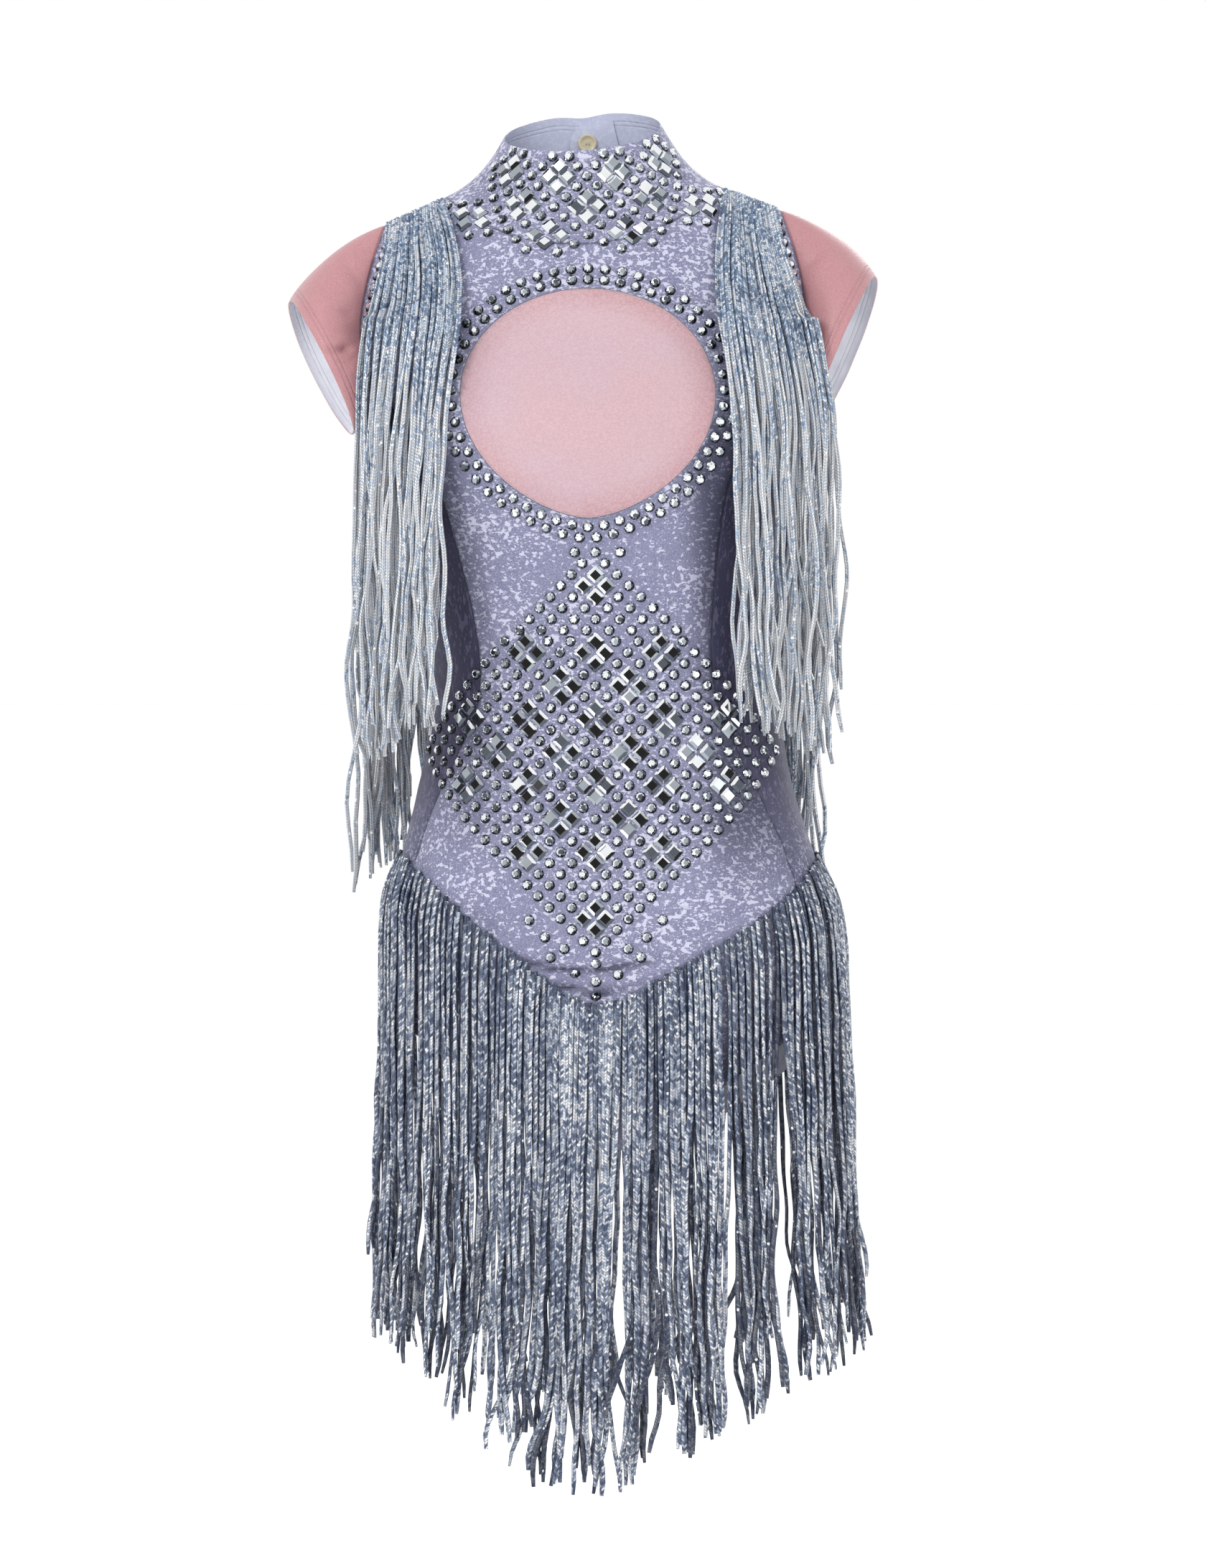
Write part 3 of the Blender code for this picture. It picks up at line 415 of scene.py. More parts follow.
def steps(first, last, count):
    return [blend(first, last, i / count) for i in range(count + 1)]


def front_lanes():
    return steps(-1, 1, 2 * PANEL_LANES)


def back_lanes(side):
    return [side * lane for lane in steps(3, 4, PANEL_LANES)]


def side_lanes(side):
    return [side * lane for lane in steps(1, 3, 2 * SIDE_LANES)]


def column(lane):
    """One grid line from the leg line or crotch up to the torso's top row."""
    below = [briefs(lane, share) for share in steps(1, 0, BRIEF_ROWS)]
    top = torso_top(lane)
    above = [lane_point(lane, blend(HIP_LINE, top, share)) for share in steps(0, 1, TORSO_ROWS)]
    return below[:-1] + above


def tall_column(lane):
    """The same line, carried on over the chest or back to the shoulder or collar."""
    upper = [yoke(lane, share) for share in steps(0, 1, CHEST_ROWS)]
    return column(lane) + upper[1:]


def armhole(side):
    """The armhole from the shoulder tip down the front, under the arm and up the back."""
    front = [yoke(side, share) for share in steps(1, 0, CHEST_ROWS)]
    under = [lane_point(lane, torso_top(lane)) for lane in side_lanes(side)]
    back = [yoke(3 * side, share) for share in steps(0, 1, CHEST_ROWS)]
    return front + under[1:-1] + back


def sleeve_grid(side):
    """The sleeve's lines, one from each point of the armhole, all the way round."""
    loop = [mirrored(point, side) for point in armhole(side)]
    lengths = lengths_along(loop)
    lines = []
    for start, length in zip(loop, lengths):
        turn = 360 * length / lengths[-1]
        line = [sleeve(start, turn, share) for share in steps(0, 1, SLEEVE_ROWS)]
        lines.append([mirrored(point, side) for point in line])
    return lines


def collar_grid():
    quarter = PANEL_LANES - SHOULDER_LANES
    angles = steps(-180, 180, 4 * quarter)
    return [[collar(angle, share) for share in steps(0, 1, COLLAR_ROWS)] for angle in angles]


class Shell:
    """The garment's outer surface: shared points, and the faces of each piece."""

    def __init__(self):
        self.points = []
        self.numbers = {}
        self.pieces = {}

    def number(self, point):
        key = tuple(round(c, 3) for c in point)
        if key not in self.numbers:
            self.numbers[key] = len(self.points)
            self.points.append(Vector(point))
        return self.numbers[key]

    def add(self, piece, lines, inside):
        """Faces between neighbouring lines, turned so that they face away from what inside gives."""
        numbered = [[self.number(place(point)) for point in line] for line in lines]
        faces, outward_share = [], 0
        for line, after in zip(numbered, numbered[1:]):
            for k in range(len(line) - 1):
                ids = [line[k], after[k], after[k + 1], line[k + 1]]
                ids = [n for i, n in enumerate(ids) if n != ids[i - 1]]
                middle = sum((self.points[n] for n in ids), Vector()) / len(ids)
                outward_share += self.normal(ids).dot(middle - inside(middle))
                faces.append(ids)
        if outward_share < 0:
            faces = [ids[::-1] for ids in faces]
        self.pieces.setdefault(piece, []).extend(faces)

    def normal(self, ids):
        """The face's normal, as long as twice its area."""
        total = Vector()
        for k in range(1, len(ids) - 1):
            a, b, c = self.points[ids[0]], self.points[ids[k]], self.points[ids[k + 1]]
            total += (b - a).cross(c - a)
        return total

    def normals(self):
        found = [Vector() for _ in self.points]
        for faces in self.pieces.values():
            for ids in faces:
                normal = self.normal(ids)
                for n in ids:
                    found[n] += normal
        return [normal.normalized() for normal in found]

    def tree(self):
        """For finding the cloth's place."""
        return BVHTree.FromPolygons(self.points, [ids for faces in self.pieces.values() for ids in faces])


def torso_inside(middle):
    return Vector((read(TORSO, "centre", middle.z), 0, max(min(middle.z, -60), -600)))


def collar_inside(middle):
    return Vector((0, 0, middle.z - 20))


def sleeve_inside(middle):
    side = math.copysign(1, middle.x)
    share = min(max((abs(middle.x) - 150) / 66, 0), 1)
    return Vector((side * blend(140, 190, share), 0, -100))


def garment():
    shell = Shell()
    shell.add("front", [tall_column(lane) for lane in front_lanes()], torso_inside)
    for side, word in ((-1, "left"), (1, "right")):
        shell.add(f"side_{word}", [column(lane) for lane in side_lanes(side)], torso_inside)
        shell.add(f"back_{word}", [tall_column(lane) for lane in back_lanes(side)], torso_inside)
        shell.add(f"sleeve_{word}", sleeve_grid(side), sleeve_inside)
    shell.add("collar", collar_grid(), collar_inside)
    return shell


def rim_of(faces):
    """The directed edges that only one face has."""
    found = {(ids[k - 1], n) for ids in faces for k, n in enumerate(ids)}
    return [(a, b) for a, b in found if (b, a) not in found]


def thickened(faces, count):
    """A sheet's faces, the same faces count points further on and turned over, and the rim between."""
    result = list(faces)
    result += [[n + count for n in reversed(ids)] for ids in faces]
    result += [[b, a, a + count, b + count] for a, b in sorted(rim_of(faces))]
    return result


def drawn_in(shell, faces):
    """How far each point on a piece's edge moves into the piece, so that its seams stand apart."""
    rim = set(rim_of(faces))
    inward = {}
    for ids in faces:
        middle = sum((shell.points[n] for n in ids), Vector()) / len(ids)
        for k, b in enumerate(ids):
            a = ids[k - 1]
            if (a, b) not in rim:
                continue
            along = (shell.points[b] - shell.points[a]).normalized()
            towards = middle - (shell.points[a] + shell.points[b]) / 2
            towards = (towards - along * towards.dot(along)).normalized()
            inward.setdefault(a, []).append(towards)
            inward.setdefault(b, []).append(towards)
    moves = {}
    for n, ways in inward.items():
        total = sum(ways, Vector())
        if len(ways) > 1:
            total /= max(1 + ways[0].dot(ways[1]), 0.4)
        moves[n] = total * (SEAM_GAP / 2)
    return moves


# Where the camera stands and looks, and where a pixel of the photograph lies on the plane through the origin
CAMERA_AT = Vector((14.8, -4300, -270))
LOOKS_AT = Vector((14.8, 0, -419.8))
PIXEL = 0.53
PIXEL_X, PIXEL_Y = 812, 300
FRAME_HEIGHT = 2184 * PIXEL


def ray(px, py):
    at = Vector(((px - PIXEL_X) * PIXEL, 0, (PIXEL_Y - py) * PIXEL))
    return (at - CAMERA_AT).normalized()


def seen(tree, px, py):
    """The point of the cloth that the photograph shows at a pixel."""
    return tree.ray_cast(CAMERA_AT, ray(px, py))[0]


# Creases: a line on the cloth, how deep its trough is (a ridge if negative) and how wide. The ends are x
# and z, as seen from the front or the back.
Crease = namedtuple("Crease", "way x1 z1 x2 z2 depth width")
FRONT, BACK = -1, 1
DEEP = 3.2  # a trough this deep gets the darkest painted shade
CREASE_BOW = 0.06  # how far it bows, as a share of its length
CREASE_REACH = 30  # how far it works from its line, at most, in millimetres and in its own widths
CREASE_WIDTHS = 3.2
FOLD_ROWS = (
    (FRONT, (
        (-53, -544, 34, -548, 4.4, 3.4), (-34, -552, 46, -554, -1.6, 3.4),
        (-18, -563, 31, -565, 4.4, 3.2), (-60, -540, -20, -546, 1.4, 4.0),
        (60, -541, 22, -547, 1.4, 4.0), (-96, -188, -72, -300, 2.2, 5.0),
        (-84, -215, -70, -345, -1.4, 4.5), (106, -196, 88, -290, 1.7, 5.0),
        (-125, -345, -66, -352, 1.6, 6.0), (140, -350, 84, -358, 1.6, 6.0),
        (-112, -372, -58, -366, -1.2, 6.0), (132, -378, 92, -371, -1.2, 6.0),
        (-120, -470, -62, -520, 1.3, 7.0), (152, -466, 100, -518, 1.2, 7.0),
        (-70, -84, -92, -118, 1.2, 4.5), (88, -74, 104, -112, 1.2, 4.5),
    )),
    (BACK, (
        (-60, -330, 70, -322, 2.4, 7.0), (-84, -352, 58, -347, 2.8, 7.5),
        (-52, -374, 96, -368, 2.2, 7.0), (-96, -318, -40, -304, 1.5, 6.0),
        (110, -392, 40, -404, 1.5, 6.5), (-80, -66, -104, -120, 1.5, 5.5),
        (86, -60, 108, -116, 1.5, 5.5), (-100, -520, -40, -566, 1.4, 8.0),
        (132, -512, 74, -560, 1.4, 8.0), (-34, -640, 4, -668, 1.8, 6.0), (66, -636, 30, -668, 1.6, 6.0),
    )),
    (FRONT, (
        (-186, -104, -156, -92, 3.4, 3.6), (-190, -121, -158, -104, 3.6, 3.6),
        (-180, -137, -160, -114, 3.0, 3.2), (-204, -74, -150, -70, 1.3, 5.0),
        (-176, -38, -150, -60, 1.2, 5.0), (194, -96, 158, -84, 3.6, 3.6),
        (192, -113, 160, -98, 3.6, 3.6), (182, -132, 162, -110, 3.0, 3.2),
        (208, -64, 152, -58, 1.3, 5.0), (180, -28, 152, -44, 1.2, 5.0),
    )),
    (BACK, (
        (-188, -108, -156, -92, 2.2, 4.5), (-198, -84, -152, -76, 1.6, 5.0),
        (190, -102, 158, -88, 2.2, 4.5), (202, -78, 154, -68, 1.6, 5.0),
    )),
    (FRONT, (
        (-84, 18, -62, 34, 1.0, 4.0), (66, 30, 90, 22, 1.0, 4.0),
    )),
)
FOLDS = [Crease(way, *row) for way, rows in FOLD_ROWS for row in rows]


def creased(points, normals, tree):
    """The points with the folds pressed in: a trough with a low ridge along both its sides; and how deep
    in a trough each one lies, from 0 to 1."""
    moved = [Vector(point) for point in points]
    hollow = [0.0] * len(points)
    for fold in FOLDS:
        ends = []
        for x, z in ((fold.x1, fold.z1), (fold.x2, fold.z2)):
            hit = tree.ray_cast(Vector((x, fold.way * OUTSIDE, z)), Vector((0, -fold.way, 0)))[0]
            ends.append(hit if hit else Vector((x, 0, z)))
        a, b = ends
        along = b - a
        length = along.length
        bow = CREASE_BOW * length
        for n, point in enumerate(points):
            if abs(point.z - (a.z + b.z) / 2) > CREASE_REACH + abs(along.z) / 2:
                continue
            share = (point - a).dot(along) / (length * length)
            if not -0.1 < share < 1.1:
                continue
            line = a + along * share
            away = point - line
            away.z += bow * math.sin(math.pi * min(max(share, 0), 1))
            across = away.length / fold.width
            if across > CREASE_WIDTHS or away.length > CREASE_REACH:
                continue
            fade = math.sin(math.pi * min(max((share + 0.1) / 1.2, 0), 1)) ** 0.8
            uneven = 1 + 0.25 * math.sin(11 * share + fold.x1)
            profile = (1 - 0.9 * across * across) * math.exp(-across * across / 1.6)
            depth = fold.depth * fade * uneven * profile
            moved[n] -= normals[n] * depth
            # the cloth's materials turn this depth into painted shade
            hollow[n] = min(max(hollow[n], depth / DEEP), 1.0)
    return moved, hollow


def slack(point):
    """A gentle unevenness of the whole cloth, in millimetres along its normal."""
    x, y, z = point
    return (
        0.45 * math.sin(0.061 * x + 0.083 * z + 0.9)
        + 0.35 * math.sin(0.11 * y - 0.057 * z + 2.0)
        + 0.25 * math.sin(0.13 * x - 0.16 * z + 0.02 * x * math.sin(0.03 * z))
    )


# Materials


class Nodes:
    """Short names for building one material's nodes."""

    def __init__(self, name):
        self.material = bpy.data.materials.new(name)
        self.material.use_nodes = True
        self.tree = self.material.node_tree
        self.shader = self.tree.nodes["Principled BSDF"]

    def new(self, kind, **inputs):
        node = self.tree.nodes.new("ShaderNode" + kind)
        for name, value in inputs.items():
            self.put(node.inputs[name.replace("_", " ")], value)
        return node

    def put(self, socket, value):
        if isinstance(value, bpy.types.NodeSocket):
            self.tree.links.new(value, socket)
        elif hasattr(value, "__len__") and len(value) == 3 and socket.type == "RGBA":
            socket.default_value = (*value, 1)
        else:
            socket.default_value = value

    def math(self, operation, a, b=0.0):
        node = self.tree.nodes.new("ShaderNodeMath")
        node.operation = operation
        self.put(node.inputs[0], a)
        self.put(node.inputs[1], b)
        return node.outputs[0]

    def plus(self, a, b):
        return self.math("ADD", a, b)

    def minus(self, a, b):
        return self.math("SUBTRACT", a, b)

    def times(self, a, b):
        return self.math("MULTIPLY", a, b)

    def height(self):
        """How high on the object, in metres."""
        return self.new("SeparateXYZ", Vector=self.place()).outputs[2]

    def mix(self, share, a, b):
        node = self.tree.nodes.new("ShaderNodeMix")
        node.data_type = "RGBA"
        self.put(node.inputs[0], share)
        self.put(node.inputs[6], a)
        self.put(node.inputs[7], b)
        return node.outputs[2]

    def step(self, value, low, high, to_low=0.0, to_high=1.0):
        node = self.tree.nodes.new("ShaderNodeMapRange")
        node.interpolation_type = "SMOOTHSTEP"
        for socket, given in zip(node.inputs, (value, low, high, to_low, to_high)):
            self.put(socket, given)
        return node.outputs[0]

    def place(self, scale=(1, 1, 1)):
        """Where on the object, in metres, stretched by a scale."""
        mapping = self.new("Mapping")
        mapping.inputs["Scale"].default_value = scale
        self.put(mapping.inputs["Vector"], self.tree.nodes.new("ShaderNodeTexCoord").outputs["Object"])
        return mapping.outputs[0]

    def noise(self, at, scale, detail=2.0, roughness=0.5, distortion=0.0):
        node = self.new("TexNoise", Vector=at, Scale=scale, Detail=detail)
        node.inputs["Roughness"].default_value = roughness
        node.inputs["Distortion"].default_value = distortion
        return node.outputs["Fac"]

    def cells(self, at, scale):
        """The distance from the middle of the nearest cell, as a share of a cell."""
        return self.new("TexVoronoi", Vector=at, Scale=scale).outputs["Distance"]

    def painted(self, name):
        node = self.tree.nodes.new("ShaderNodeAttribute")
        node.attribute_name = name
        return node.outputs["Fac"]

    def bump(self, height, strength, distance, normal=None):
        node = self.new("Bump", Height=height, Strength=strength, Distance=distance)
        if normal:
            self.put(node.inputs["Normal"], normal)
        return node.outputs[0]

    def finish(self, colour, roughness, normal=None, **sockets):
        self.put(self.shader.inputs["Base Color"], colour)
        self.put(self.shader.inputs["Roughness"], roughness)
        if normal:
            self.put(self.shader.inputs["Normal"], normal)
        for name, value in sockets.items():
            self.put(self.shader.inputs[name.replace("_", " ")], value)
        return self.material


LILAC = (0.208, 0.213, 0.335)
LILAC_DEEP = (0.142, 0.145, 0.250)
SPECK = (0.600, 0.605, 0.750)
NAVY = (0.020, 0.021, 0.048)
NAVY_STREAK = (0.058, 0.054, 0.112)
NAVY_SPECK = (0.110, 0.108, 0.180)
ROSE = (0.485, 0.232, 0.250)
ROSE_DEEP = (0.380, 0.158, 0.175)
ROSE_LIGHT = (0.660, 0.400, 0.415)
ROSE_SHADOW = (0.210, 0.070, 0.080)
BLUSH = (0.520, 0.335, 0.365)
BLUSH_CLOUD = (0.500, 0.345, 0.400)
BLUSH_EDGE = (0.440, 0.225, 0.245)
BLUSH_LIGHT = (0.660, 0.520, 0.560)
REVERSE = (0.740, 0.745, 0.820)
REVERSE_SPECK = (0.800, 0.800, 0.900)
COLLAR_REVERSE = (0.500, 0.530, 0.680)
CORD_GAP_SHADE = (0.020, 0.026, 0.056)
# Chain tones from dark to bright: the light tone partly and the bright tone wholly are the metallic thread's
# painted highlights
HIP_TONES = ((0.066, 0.086, 0.150), (0.190, 0.235, 0.335), (0.545, 0.615, 0.735), (0.970, 0.980, 1.000))
FALL_TONES = ((0.110, 0.160, 0.265), (0.270, 0.370, 0.540), (0.680, 0.810, 0.980), (0.980, 0.990, 1.000))
STITCH = 2.2  # millimetres along the cord
STITCH_RISE = 4.4  # how far its V climbs from the middle of the cord to its edge
THREAD_CONTRAST = 0.7  # how much single threads and whole patches change which loops are lit
PATCH_CONTRAST = 1.3
HEM_ROW = 6.5  # distance of a hem's first row of stitches from its edge
HEM_ROWS_APART = 3
SPECKS_STRETCHED = (0.78, 1.0, 1.12)
SPECKS_A_METRE = 310
SPECKS_ABOVE = 0.592  # of the noise; a higher value leaves fewer specks
KNIT_GLOSS = {"Sheen_Weight": 0.15, "Sheen_Roughness": 0.4, "Specular_IOR_Level": 0.35}
GLINT = (0.00135, 0.00075)  # a painted glint's radius, where it ends and where it is full, in metres


def knit(m, strength, scale=1500):
    """The fine grain of stretch knit, as a normal, with the furrows that its seams and hems are sewn in."""
    grain = m.cells(m.place((1.0, 1.0, 1.35)), scale)
    soft = m.noise(m.place(), 620, 3)
    fine = m.bump(m.plus(m.times(grain, 0.7), soft), strength, 0.0004)
    return m.bump(furrows(m), 0.6, 0.0006, fine)


def furrows(m):
    """1 on plain cloth, falling to 0 in a seam's furrow and in the two rows of a hem's stitches."""
    seam = m.step(m.painted("seam"), 0.2, 2.2)
    hem = m.painted("hem")
    stitched = (HEM_ROW, HEM_ROW + HEM_ROWS_APART)
    rows = [m.step(m.math("ABSOLUTE", m.minus(hem, at)), 0.25, 0.8) for at in stitched]
    return m.times(seam, m.times(*rows))


def crease_and_seam_shade(m, tone, dark, deep=0.9):
    """The colour with painted shade: darker where a crease lies deep and in the furrows of the sewing."""
    tone = m.mix(m.times(m.painted("hollow"), deep), tone, dark)
    seam_shade = m.minus(1.0, m.step(m.painted("seam"), 0.2, 2.2))
    seam_shade = m.math("MAXIMUM", seam_shade, m.times(m.minus(1.0, furrows(m)), 0.2))
    return m.mix(m.times(seam_shade, 0.45), tone, dark)


def specks(m, at, fine, spread):
    """Where the print's light specks are: blotches of two sizes that come thick and thin."""
    crowd = m.noise(at, 26, 2)
    crowd = m.plus(crowd, m.step(m.height(), -0.13, -0.01, 0.0, 0.16))
    blotch = m.noise(at, fine, 2, 0.5, 0.15)
    small = m.noise(at, fine * 1.9, 2, 0.5)
    edge = m.step(crowd, 0.25, 0.75, spread + 0.035, spread - 0.04)
    first = m.step(m.minus(blotch, edge), -0.006, 0.014)
    second = m.step(m.minus(small, m.plus(edge, 0.045)), -0.006, 0.014)
    return m.math("MAXIMUM", first, m.times(second, 0.85))


def fine_specks(m, share):
    """The pale print's specks, at a share of their strength."""
    return m.times(specks(m, m.place(SPECKS_STRETCHED), SPECKS_A_METRE, SPECKS_ABOVE), share)


def print_pale():
    m = Nodes("print_pale")
    tone = m.mix(m.noise(m.place(), 9, 3), LILAC_DEEP, LILAC)
    grain = m.noise(m.place(), 900, 2)
    tone = m.mix(m.step(grain, 0.35, 0.7, 0.0, 0.24), tone, SPECK)
    tone = m.mix(fine_specks(m, 0.85), tone, SPECK)
    dark = m.mix(fine_specks(m, 0.5), NAVY, NAVY_SPECK)
    # painted shade: the panels darken by shade towards the sides and the crotch, and everywhere in creases
    # and seam furrows
    colour = crease_and_seam_shade(m, m.mix(m.painted("shade"), tone, dark), NAVY)
    return m.finish(colour, 0.62, knit(m, 0.35), **KNIT_GLOSS)


def print_dark():
    m = Nodes("print_dark")
    at = m.place((1.9, 1.9, 0.62))
    tone = m.mix(m.noise(m.place((3, 3, 0.6)), 30, 3), NAVY, NAVY_STREAK)
    tone = m.mix(m.times(specks(m, at, 190, 0.60), 0.7), tone, NAVY_SPECK)
    pale = m.mix(fine_specks(m, 0.85), LILAC_DEEP, SPECK)
    # painted shade in creases and seam furrows
    colour = crease_and_seam_shade(m, m.mix(m.painted("shade"), pale, tone), NAVY)
    return m.finish(colour, 0.6, knit(m, 0.35), **KNIT_GLOSS)


def rose_satin():
    m = Nodes("rose_satin")
    tone = m.mix(m.noise(m.place((1, 1, 1.6)), 14, 3), ROSE_DEEP, ROSE)
    tone = m.mix(m.step(m.noise(m.place(), 1100, 2), 0.3, 0.7, 0, 0.3), tone, ROSE_LIGHT)
    # painted shade in creases and seam furrows
    tone = crease_and_seam_shade(m, tone, ROSE_SHADOW, 0.3)
    rough = m.step(m.noise(m.place(), 40, 2), 0.3, 0.7, 0.40, 0.50)
    sheen = {"Sheen_Weight": 0.5, "Sheen_Roughness": 0.35, "Sheen_Tint": (1, 0.86, 0.88, 1)}
    return m.finish(tone, rough, knit(m, 0.25, 1900), **sheen)


def blush_inset():
    m = Nodes("blush_inset")
    cloud = m.noise(m.place((1, 1, 1.3)), 11, 2)
    tone = m.mix(m.step(cloud, 0.35, 0.65), BLUSH, BLUSH_CLOUD)
    tone = m.mix(m.painted("shade"), tone, BLUSH_EDGE)
    brushed = m.noise(m.place((1.0, 1.0, 1.4)), 560, 3, 0.7)
    tone = m.mix(m.step(brushed, 0.4, 0.62, 0, 0.30), tone, BLUSH_LIGHT)
    return m.finish(tone, 0.7, knit(m, 0.3, 1700), Sheen_Weight=0.35, Sheen_Roughness=0.5)


def reverse(name, colour):
    m = Nodes(name)
    cloud = m.noise(m.place(), 18, 2)
    tone = m.mix(m.step(cloud, 0.3, 0.7), colour, tuple(0.88 * c for c in colour))
    tone = m.mix(fine_specks(m, 0.18), tone, REVERSE_SPECK)
    return m.finish(tone, 0.7, knit(m, 0.25), Sheen_Weight=0.1, Specular_IOR_Level=0.3)


def chain_cord(name, shine, tones, glints, uneven, lower=0.0):
    """Knitted chain: two rows of loops that meet in a V along the cord, with metallic thread, its lit loops
    and glints painted highlights and its gaps painted shade; shine is how many of its loops are painted as
    catching the light, and lower how many more are below the shoulder; glints is how closely the brightest
    painted spots lie, and uneven how far the strands differ."""
    m = Nodes(name)
    dark, middle, light, bright = tones
    uv = m.tree.nodes.new("ShaderNodeUVMap")
    uv.uv_map = "cord"
    parts = m.new("SeparateXYZ", Vector=uv.outputs[0])
    around = m.times(m.math("FRACT", parts.outputs[0]), 2.0)
    strand = m.math("FLOOR", parts.outputs[0])
    wale = m.math("ABSOLUTE", m.minus(m.math("FRACT", m.plus(around, 0.5)), 0.5))
    rising = m.times(m.plus(parts.outputs[1], m.times(wale, STITCH_RISE)), 1 / STITCH)
    loop = m.step(m.math("ABSOLUTE", m.minus(m.math("FRACT", rising), 0.5)), 0.50, 0.30)
    ridge = m.step(wale, 0.02, 0.16)
    row = m.math("FLOOR", m.times(around, 2.0))
    cell = m.new("CombineXYZ", X=m.math("FLOOR", rising), Y=strand, Z=row)
    luck = m.new("TexWhiteNoise", Vector=cell.outputs[0]).outputs["Value"]
    thread = m.noise(m.place((1, 1, 0.6)), 1900, 2, 0.6)
    patch = m.noise(m.place((1, 1, 0.35)), 60, 2)
    lit = m.plus(luck, m.times(m.minus(thread, 0.5), THREAD_CONTRAST))
    lit = m.plus(lit, m.times(m.minus(patch, 0.5), PATCH_CONTRAST))
    lit = m.plus(lit, m.step(m.height(), -0.05, -0.19, shine, shine + lower))
    # painted highlights: loops that come out lit take the light and bright tones
    tone = m.mix(m.step(lit, 0.15, 0.55), dark, middle)
    tone = m.mix(m.step(lit, 0.58, 0.76), tone, light)
    tone = m.mix(m.step(lit, 0.90, 0.98), tone, bright)
    each = m.tree.nodes.new("ShaderNodeTexWhiteNoise")
    each.noise_dimensions = "1D"
    m.put(each.inputs["W"], strand)
    tone = m.mix(m.times(each.outputs["Value"], uneven), tone, dark)
    # painted shade in the gaps between loops and rows, and under the other strands
    tone = m.mix(m.step(loop, 0, 1, 0.50, 0), tone, CORD_GAP_SHADE)
    tone = m.mix(m.step(ridge, 0, 1, 0.45, 0), tone, CORD_GAP_SHADE)
    tone = m.mix(m.painted("under"), tone, CORD_GAP_SHADE)
    # painted glints
    painted_glint = m.step(m.cells(m.place(), glints), GLINT[0] * glints, GLINT[1] * glints)
    tone = m.mix(painted_glint, tone, bright)
    metal = m.step(lit, 0.90, 1.05, 0.0, 0.5)
    rough = m.step(lit, 0.55, 0.95, 0.55, 0.24)
    relief = m.plus(m.times(m.times(loop, ridge), 0.8), m.times(thread, 0.5))
    return m.finish(tone, rough, m.bump(relief, 0.9, 0.0007), Metallic=metal, Specular_IOR_Level=0.4)


# One tone of the stones' painted reflections
def mirror(name, colour, metallic, roughness):
    m = Nodes(name)
    smear = m.noise(m.place(), 160, 2)
    rough = m.step(smear, 0.3, 0.7, roughness, roughness + 0.05)
    tint = m.mix(m.noise(m.place(), 90, 1), colour, tuple(0.86 * c for c in colour))
    return m.finish(tint, rough, None, Metallic=metallic, Specular_IOR_Level=0.6)


def cream_button():
    m = Nodes("cream_button")
    swirl = m.noise(m.place((1, 1, 2.5)), 110, 3, 0.6, 0.8)
    tone = m.mix(m.step(swirl, 0.35, 0.7), (0.52, 0.46, 0.29), (0.66, 0.60, 0.42))
    return m.finish(tone, 0.32, m.bump(swirl, 0.15, 0.0003), Coat_Weight=0.3)


def plain(name, colour, roughness):
    m = Nodes(name)
    tone = m.mix(m.noise(m.place(), 300, 3), colour, tuple(0.8 * c for c in colour))
    return m.finish(tone, roughness, m.bump(m.noise(m.place(), 900, 2), 0.4, 0.0004))


def in_scene(name, data):
    result = bpy.data.objects.new(name, data)
    bpy.context.scene.collection.objects.link(result)
    return result


def made(name, points, faces, looks, kinds=None, smooth=True, sharp=50):
    """An object from points in millimetres; kinds gives each face's place in looks."""
    mesh = bpy.data.meshes.new(name)
    mesh.from_pydata([point * MM for point in points], [], faces)
    for look in looks:
        mesh.materials.append(look)
    if kinds:
        mesh.polygons.foreach_set("material_index", kinds)
    if smooth:
        mesh.shade_smooth()
        mesh.set_sharp_from_angle(angle=math.radians(sharp))
    return in_scene(name, mesh)


def paint(mesh, name, values):
    layer = mesh.attributes.new(name, "FLOAT", "POINT")
    layer.data.foreach_set("value", values)


def smooth_share(low, high, value):
    t = min(max((value - low) / (high - low), 0), 1)
    return t * t * (3 - 2 * t)


# Cloth

FAR = 12.0  # millimetres from an edge, beyond which it doesn't matter


def cloth_parts(shell, points, normals, piece, thick):
    faces = shell.pieces[piece]
    moves = drawn_in(shell, faces)
    used = sorted({n for ids in faces for n in ids})
    place_of = {n: k for k, n in enumerate(used)}
    result = []
    for lift in (0, thick):
        for n in used:
            at_rim = 0.3 if n in moves and lift == 0 else 0
            result.append(points[n] - normals[n] * (lift + at_rim) + moves.get(n, Vector()))
    local = [[place_of[n] for n in ids] for ids in faces]
    return result, local, used


def nearness(shell, used, edge):
    """How far each used point lies from the nearest of an edge's points, at most FAR."""
    if not edge:
        return [FAR] * len(used)
    found = KDTree(len(edge))
    for k, n in enumerate(edge):
        found.insert(shell.points[n], k)
    found.balance()
    return [min(found.find(shell.points[n])[2], FAR) for n in used]


def edges_of(shell, piece):
    """The points on a piece's edge that it shares with another piece, and those on its open hems."""
    owners = {}
    for name, faces in shell.pieces.items():
        for n in {n for ids in faces for n in ids}:
            owners.setdefault(n, set()).add(name)
    rim = {n for edge in rim_of(shell.pieces[piece]) for n in edge}
    seam = [n for n in sorted(rim) if len(owners[n]) > 1]
    return seam, [n for n in sorted(rim) if len(owners[n]) == 1]


